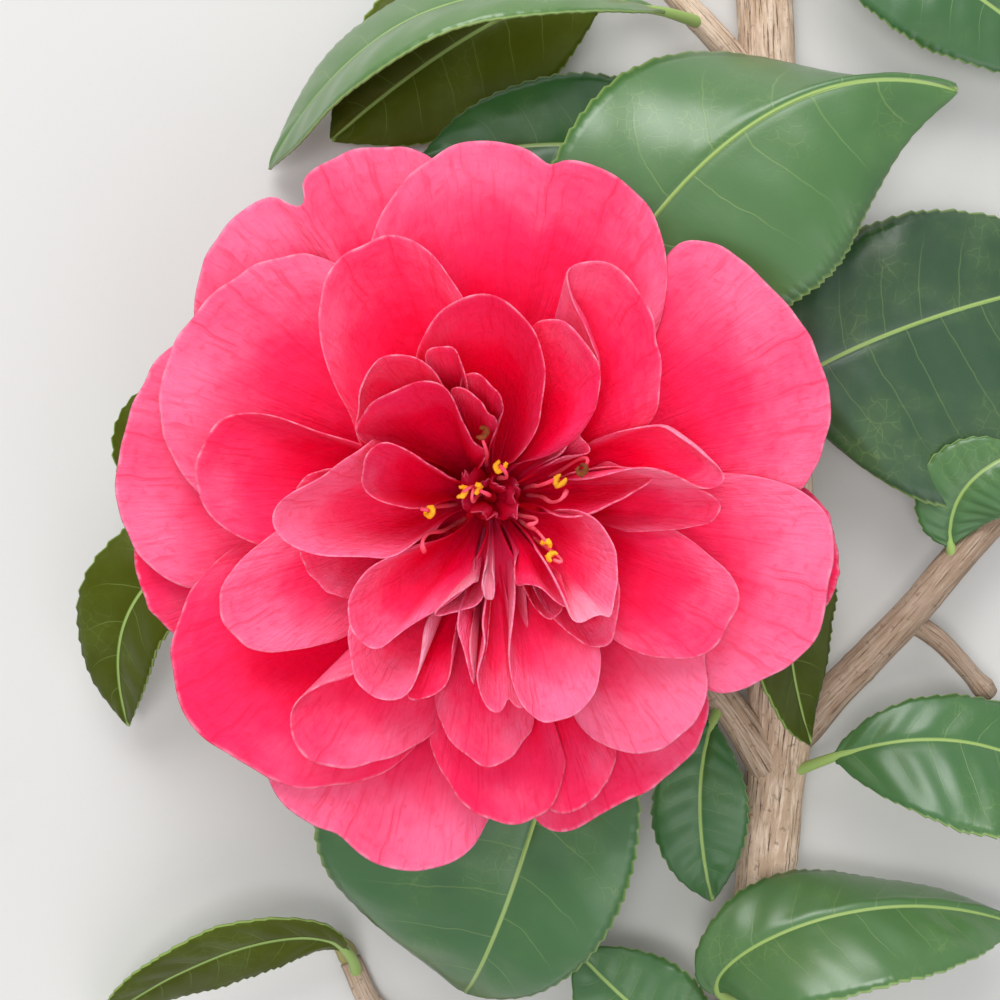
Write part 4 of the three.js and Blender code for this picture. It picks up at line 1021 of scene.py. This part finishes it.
def build_materials():
    colours = bpy.context.scene.camellia_colours
    build_petal_effect()
    build_leaf_effect()
    build_bark_effect()
    petal_skin = {
        "Subsurface Weight": 0.25, "Subsurface Radius": (1.0, 0.2, 0.25), "Subsurface Scale": 2.0 * MM,
        "Specular IOR Level": 0.08,
    }
    for name, blade, foot, end in (
        ("Petal", colours.petal, colours.petal_foot, colours.petal_end),
        ("Petal back", colours.petal_back, colours.petal, colours.petal_rim),
    ):
        surface(name, "Petal surface", {
            "UV": "uv", "Tone and painted shading": "tone_and_painted_shading", "Blade": opaque(blade), "Foot": opaque(foot),
            "Vein": opaque(colours.petal_vein), "End": opaque(end), "Rim highlight": opaque(colours.petal_rim),
        }, (0.8, 0.45), petal_skin)
    gloss = {"Specular IOR Level": 0.7, "Coat Weight": 0.5, "Coat Roughness": 0.28}
    satin = {"Specular IOR Level": 0.15, "Coat Weight": 0.06, "Coat Roughness": 0.3}
    dull = {"Specular IOR Level": 0.35}
    for name, blade, net, skin in (
        ("Leaf", colours.leaf, 0.16, gloss), ("Leaf back", colours.leaf_back, 0.12, dull),
        ("Young leaf", colours.young_leaf, 0.1, satin), ("Young leaf back", colours.leaf_back, 0.12, dull),
        ("Leaf stalk", colours.leaf_vein, 0.0, dull),
    ):
        surface(name, "Leaf surface", {
            "UV": "uv", "Place": "object", "Rib distance": "rib", "Tone and painted shading": "tone_and_painted_shading", "Blade": opaque(blade),
            "Vein": opaque(colours.leaf_vein), "Net strength": net,
        }, (0.3, 0.25), skin)
    bark, streak = opaque(colours.bark), opaque(colours.bark_streak)
    dark = (0.11, 0.06, 0.035, 1)
    green = ((0.16, 0.19, 0.05, 1), (0.3, 0.27, 0.11, 1), (0.09, 0.07, 0.03, 1))
    scale = ((0.25, 0.24, 0.08, 1), (0.42, 0.36, 0.16, 1), (0.14, 0.09, 0.04, 1))
    wood = ((0.6, 0.47, 0.28, 1), (0.72, 0.6, 0.4, 1), (0.4, 0.28, 0.15, 1))
    flesh = ((0.8, 0.002, 0.015, 1), (0.9, 0.01, 0.04, 1), (0.6, 0.0, 0.004, 1))
    # The pollen's lighter shade is a painted highlight and its darkest a painted orange-brown shade, laid in grains at
    # random.
    pollen_with_painted_light = (opaque(colours.anther), (0.95, 0.62, 0.05, 1), (0.5, 0.16, 0.01, 1))
    dry = ((0.26, 0.06, 0.015, 1), (0.42, 0.14, 0.03, 1), (0.1, 0.02, 0.006, 1))
    # The filament's paler streaks are partly its own colour and partly painted highlight.
    thread = ((0.92, 0.09, 0.16, 1), (0.97, 0.3, 0.34, 1), (0.85, 0.02, 0.07, 1))
    for name, shades, place, bump in (
        ("Bark", (bark, streak, dark), "grain", (0.7, 0.5)),
        ("Green bark", green, "grain", (0.3, 0.3)),
        ("Cut wood", wood, "object", (0.4, 0.3)),
        ("Bract", scale, "object", (0.3, 0.2)),
        ("Heart", flesh, "object", (0.5, 0.3)),
        ("Anther", pollen_with_painted_light, "object", (0.8, 0.2)),
        ("Dry anther", dry, "object", (0.8, 0.2)),
        ("Filament", thread, "object", (0.2, 0.1)),
    ):
        surface(name, "Bark surface", {
            "Grain": place, "Place": "object", "Tone and painted shading": "tone_and_painted_shading", "Bark": shades[0], "Streak": shades[1],
            "Dark": shades[2],
        }, bump, {"Specular IOR Level": 0.04 if name in ("Heart", "Filament") else 0.3})
    surface("Floor", "Bark surface", {
        "Grain": "object", "Place": "object", "Bark": opaque(colours.floor), "Streak": opaque(colours.floor),
        "Dark": opaque(colour * 0.97 for colour in colours.floor),
    }, (0.05, 0.1), {"Specular IOR Level": 0.2})


class CAMELLIA_OT_materials(bpy.types.Operator):
    """Builds the materials of petals, leaves, bark and floor"""

    bl_idname = "camellia.materials"
    bl_label = "Materials"

    def execute(self, context):
        build_materials()
        return {"FINISHED"}


class CAMELLIA_OT_stage(bpy.types.Operator):
    """Adds the floor, the soft studio light and the camera over the bloom"""

    bl_idname = "camellia.stage"
    bl_label = "Floor, light and camera"

    def execute(self, context):
        bare_selection()
        bpy.ops.mesh.primitive_grid_add(x_subdivisions=8, y_subdivisions=8, size=8, location=(0, 0, 0))
        floor = context.object
        floor.name = "floor"
        floor.data.materials.append(bpy.data.materials["Floor"])
        for name, place, size, power in (
            ("key", (-0.2, 0.9, 0.85), 0.8, 11.3),
            ("fill", (0.5, -0.7, 0.9), 1.0, 3.0),
            ("top", (-0.15, -0.08, 1.0), 0.3, 3.4),
        ):
            bpy.ops.object.light_add(type="AREA", location=place)
            light = context.object
            light.name = name
            light.data.size = size
            light.data.energy = power
            light.rotation_euler = Vector(place).to_track_quat("Z", "Y").to_euler()
        # The last light only reaches into the heart, with no sheen of its own on the leaves
        light.visible_glossy = False
        world = bpy.data.worlds.new("Soft studio")
        world.use_nodes = True
        world.node_tree.nodes["Background"].inputs["Color"].default_value = (0.93, 0.96, 1.0, 1)
        world.node_tree.nodes["Background"].inputs["Strength"].default_value = 0.54
        context.scene.world = world
        context.scene.view_settings.view_transform = "Standard"
        bpy.ops.object.camera_add(location=ORIGIN + UP * CAMERA_HEIGHT * MM, rotation=(0, 0, 0))
        camera = context.object
        camera.data.angle = 2 * math.atan(0.5 * RIM_PLANE_VIEW / (CAMERA_HEIGHT - RIM_PLANE))
        camera.data.clip_start = 0.01
        context.scene.camera = camera
        return {"FINISHED"}


class CAMELLIA_OT_stems(bpy.types.Operator):
    """Models the stems and twigs with their bark, cut ends and buds"""

    bl_idname = "camellia.stems"
    bl_label = "Stems"

    def execute(self, context):
        for name, stem in STEMS.items():
            piece = limb("stem_" + name, stem, context.scene.camellia_sizes.bark_relief)
            carried(piece, "green_bark" if stem.get("green") else "bark", name)
        return {"FINISHED"}


class CAMELLIA_OT_leaves(bpy.types.Operator):
    """Models the leaves with toothed margins, veins and stalks"""

    bl_idname = "camellia.leaves"
    bl_label = "Leaves"

    def execute(self, context):
        for name, shape in LEAVES.items():
            piece = leaf("blade_" + name, shape, context.scene.camellia_sizes.leaf_thickness)
            carried(piece, "young_leaf" if shape.get("young") else "leaf", name)
        return {"FINISHED"}


class CAMELLIA_OT_calyx(bpy.types.Operator):
    """Models the cup of overlapping bracts under the bloom"""

    bl_idname = "camellia.calyx"
    bl_label = "Calyx"

    def execute(self, context):
        bracts = []
        profile = Path([Vector((r * CALYX_RADIUS, 0, CALYX_FOOT + z * (CALYX_RIM - CALYX_FOOT)))
                        for r, z in ((0.05, 0.0), (0.28, 0.04), (0.62, 0.2), (0.88, 0.55), (0.99, 0.9), (1.0, 1.06))])
        for ring, (count, top, width, out) in enumerate(((5, 1.0, 8.6, 0.0), (5, 0.8, 8.2, 0.55), (4, 0.52, 7.4, 1.1))):
            for i in range(count):
                turn = 2 * math.pi * (i / count + 0.27 * ring)

                def place(u, v):
                    spot, tangent = profile.at(top * v)
                    wide = width * math.sin(math.pi * (0.1 + 0.82 * v)) ** 0.6
                    reach = max(spot.x, 0.6)
                    angle = turn + u * min(wide / reach, 1.2)
                    drop = 0.14 * top * abs(u) ** 2.2 * v
                    spot, tangent = profile.at(max(0.0, top * v - drop))
                    flare = out + 0.5 * smooth(v, 0.8, 1.0) + 0.12 * math.sin(9 * u + ring)
                    reach = spot.x + flare * smooth(v, 0.0, 0.3)
                    return BLOOM_AXIS + Vector((math.cos(angle) * reach, math.sin(angle) * reach, spot.z - 0.4 * out))

                piece = sheet(f"bract_{ring}_{i}", 14, 14, place)
                bracts.append(finish(piece, [wall(0.5 * MM), rounded()], ["Bract", "Bract"]))
        carried(joined(bracts, "calyx_bracts"), "bract", "calyx")
        return {"FINISHED"}


class CAMELLIA_OT_heart(bpy.types.Operator):
    """Models the fleshy heart of the bloom, which carries petals and stamens"""

    bl_idname = "camellia.heart"
    bl_label = "Heart of the bloom"

    def execute(self, context):
        path = Path([BLOOM_AXIS + UP * lerp(HEART_FOOT, HEART_TOP, i / 30) for i in range(31)])

        def radius(v, angle):
            body = 8.6 * math.sqrt(max(0.0, 1 - abs(2 * v - 1) ** 2.6)) * lerp(1.0, 0.5, smooth(v, 0.4, 0.85))
            lumps = noise.noise(Vector((math.cos(angle), math.sin(angle), 4 * v)) * 2)
            folds = 0.3 * math.sin(13 * angle + 5 * lumps) + 0.6 * lumps
            return max(0.05, body + folds * math.sin(math.pi * v)), 0.0

        piece = tube("bloom_heart", path, radius, 48, 36, side=Vector((1, 0, 0)))
        finish(piece, [], ["Heart", "Heart"])
        carried(piece, "petal", "bloom")

        folds = []
        for number in range(HEART_FOLDS):
            turn = 2.4 * number
            out = Vector((math.cos(turn), math.sin(turn), 0))
            side = out.cross(UP)
            lean = 2.6 + 1.6 * math.sin(1.7 * number)
            tall = 13.5 + 2.5 * math.sin(2.9 * number)

            def place(u, v):
                wide = 2.3 * math.sin(math.pi * (0.14 + 0.72 * v)) * (1 - 0.25 * v)
                curl = 1.3 * u * u * math.sin(math.pi * v)
                stray = noise.noise(Vector((u * 1.7, v * 2.4, number))) * 1.1 * v
                return (BLOOM_AXIS + out * (0.9 + lean * v ** 1.6 + curl + stray)
                        + side * (u * wide + stray) + UP * (HEART_TOP - 3 + tall * v ** 0.85 - 0.9 * u * u * v))

            fold = sheet(f"heart_fold_{number}", 12, 14, place)
            note(fold, "tone_and_painted_shading", [-0.55] * len(fold.data.vertices))
            folds.append(finish(fold, [wall(0.3 * MM), rounded()], ["Petal", "Petal"]))
        carried(joined(folds, "bloom_heart_folds"), "petal")
        return {"FINISHED"}


class CAMELLIA_OT_outer_petals(bpy.types.Operator):
    """Models the broad outer petals"""

    bl_idname = "camellia.outer_petals"
    bl_label = "Outer petals"

    def execute(self, context):
        whorl("outer", OUTER_PETALS, True)
        return {"FINISHED"}


class CAMELLIA_OT_middle_petals(bpy.types.Operator):
    """Models the middle petals"""

    bl_idname = "camellia.middle_petals"
    bl_label = "Middle petals"

    def execute(self, context):
        whorl("middle", MIDDLE_PETALS, False)
        return {"FINISHED"}


class CAMELLIA_OT_inner_petals(bpy.types.Operator):
    """Models the upright petals and petaloids round the heart"""

    bl_idname = "camellia.inner_petals"
    bl_label = "Inner petals"

    def execute(self, context):
        whorl("inner", INNER_PETALS, False)
        return {"FINISHED"}


class CAMELLIA_OT_stamens(bpy.types.Operator):
    """Models the stamens with their threads and two-lobed anthers"""

    bl_idname = "camellia.stamens"
    bl_label = "Stamens"

    def execute(self, context):
        for number, stamen in enumerate(STAMENS, 1):
            tip = BLOOM_AXIS + Vector(stamen["tip"])
            foot = BLOOM_AXIS.lerp(tip, 0.42)
            foot.z = HEART_TOP - 5
            hook = Vector((math.sin(2.4 * number), math.cos(2.4 * number), 0))
            path = through([
                foot, foot.lerp(tip, 0.5) + hook * 0.6, foot.lerp(tip, 0.85) + hook * 1.8 + UP * 0.8,
                tip + hook * 1.1 + UP * 1.5, tip], 8)
            across = hook.cross(UP)

            def thread(v, angle):
                club = 0.14 * smooth(v, 0.9, 0.97) if stamen.get("bare") else 0.0
                return lerp(0.4, 0.24, v) + 0.04 * math.sin(14 * v + number) + club, 0.0

            line = tube(f"stamen_{number:02d}", path, thread, 8, 32, side=across)
            parts = [finish(line, [], ["Filament", "Filament"])]
            if not stamen.get("bare"):
                facing = (UP * 1.5 + Vector((math.sin(2.1 * number), math.cos(2.1 * number), 0))).normalized()
                one = facing.orthogonal().normalized()
                two = facing.cross(one)
                open_by = 4.4 + 1.2 * math.sin(number)
                loop = Path([
                    tip + (one * math.cos(turn) * 0.85 + two * math.sin(turn) * 0.6) + facing * 0.1 * turn
                    for turn in (open_by * i / 20 + number for i in range(21))])

                def crust(v, angle):
                    grain = noise.noise(Vector((math.cos(angle), math.sin(angle), v * 9 + number)) * 1.6)
                    return max(0.03, 0.44 * (math.sin(math.pi * v) ** 0.4 if 0 < v < 1 else 0.0) + 0.2 * grain), 0.0

                skin = "Dry anther" if stamen.get("dry") else "Anther"
                parts.append(finish(tube(f"anther_{number:02d}", loop, crust, 12, 40), [], [skin, skin]))
            carried(joined(parts, f"stamen_{number:02d}"), "petal")
        return {"FINISHED"}


STEPS = (
    CAMELLIA_OT_materials,
    CAMELLIA_OT_stage,
    CAMELLIA_OT_stems,
    CAMELLIA_OT_calyx,
    CAMELLIA_OT_leaves,
    CAMELLIA_OT_heart,
    CAMELLIA_OT_outer_petals,
    CAMELLIA_OT_middle_petals,
    CAMELLIA_OT_inner_petals,
    CAMELLIA_OT_stamens,
)


class CAMELLIA_PT_branch(bpy.types.Panel):
    """Lists the steps that model the branch"""

    bl_idname = "CAMELLIA_PT_branch"
    bl_label = "Cut camellia branch"
    bl_space_type = "VIEW_3D"
    bl_region_type = "UI"
    bl_category = "Camellia"

    def draw(self, context):
        for group in (context.scene.camellia_sizes, context.scene.camellia_colours):
            for key in group.__annotations__:
                self.layout.prop(group, key)
        for step in STEPS:
            self.layout.operator(step.bl_idname)


CLASSES = (BranchSizes, BranchColours, *STEPS, CAMELLIA_PT_branch)


def register():
    for cls in CLASSES:
        bpy.utils.register_class(cls)
    bpy.types.Scene.camellia_sizes = PointerProperty(type=BranchSizes)
    bpy.types.Scene.camellia_colours = PointerProperty(type=BranchColours)


def unregister():
    del bpy.types.Scene.camellia_colours
    del bpy.types.Scene.camellia_sizes
    for cls in reversed(CLASSES):
        bpy.utils.unregister_class(cls)


def main():
    register()
    for step in STEPS:
        group, name = step.bl_idname.split(".")
        getattr(getattr(bpy.ops, group), name)()


if __name__ == "__main__":
    main()
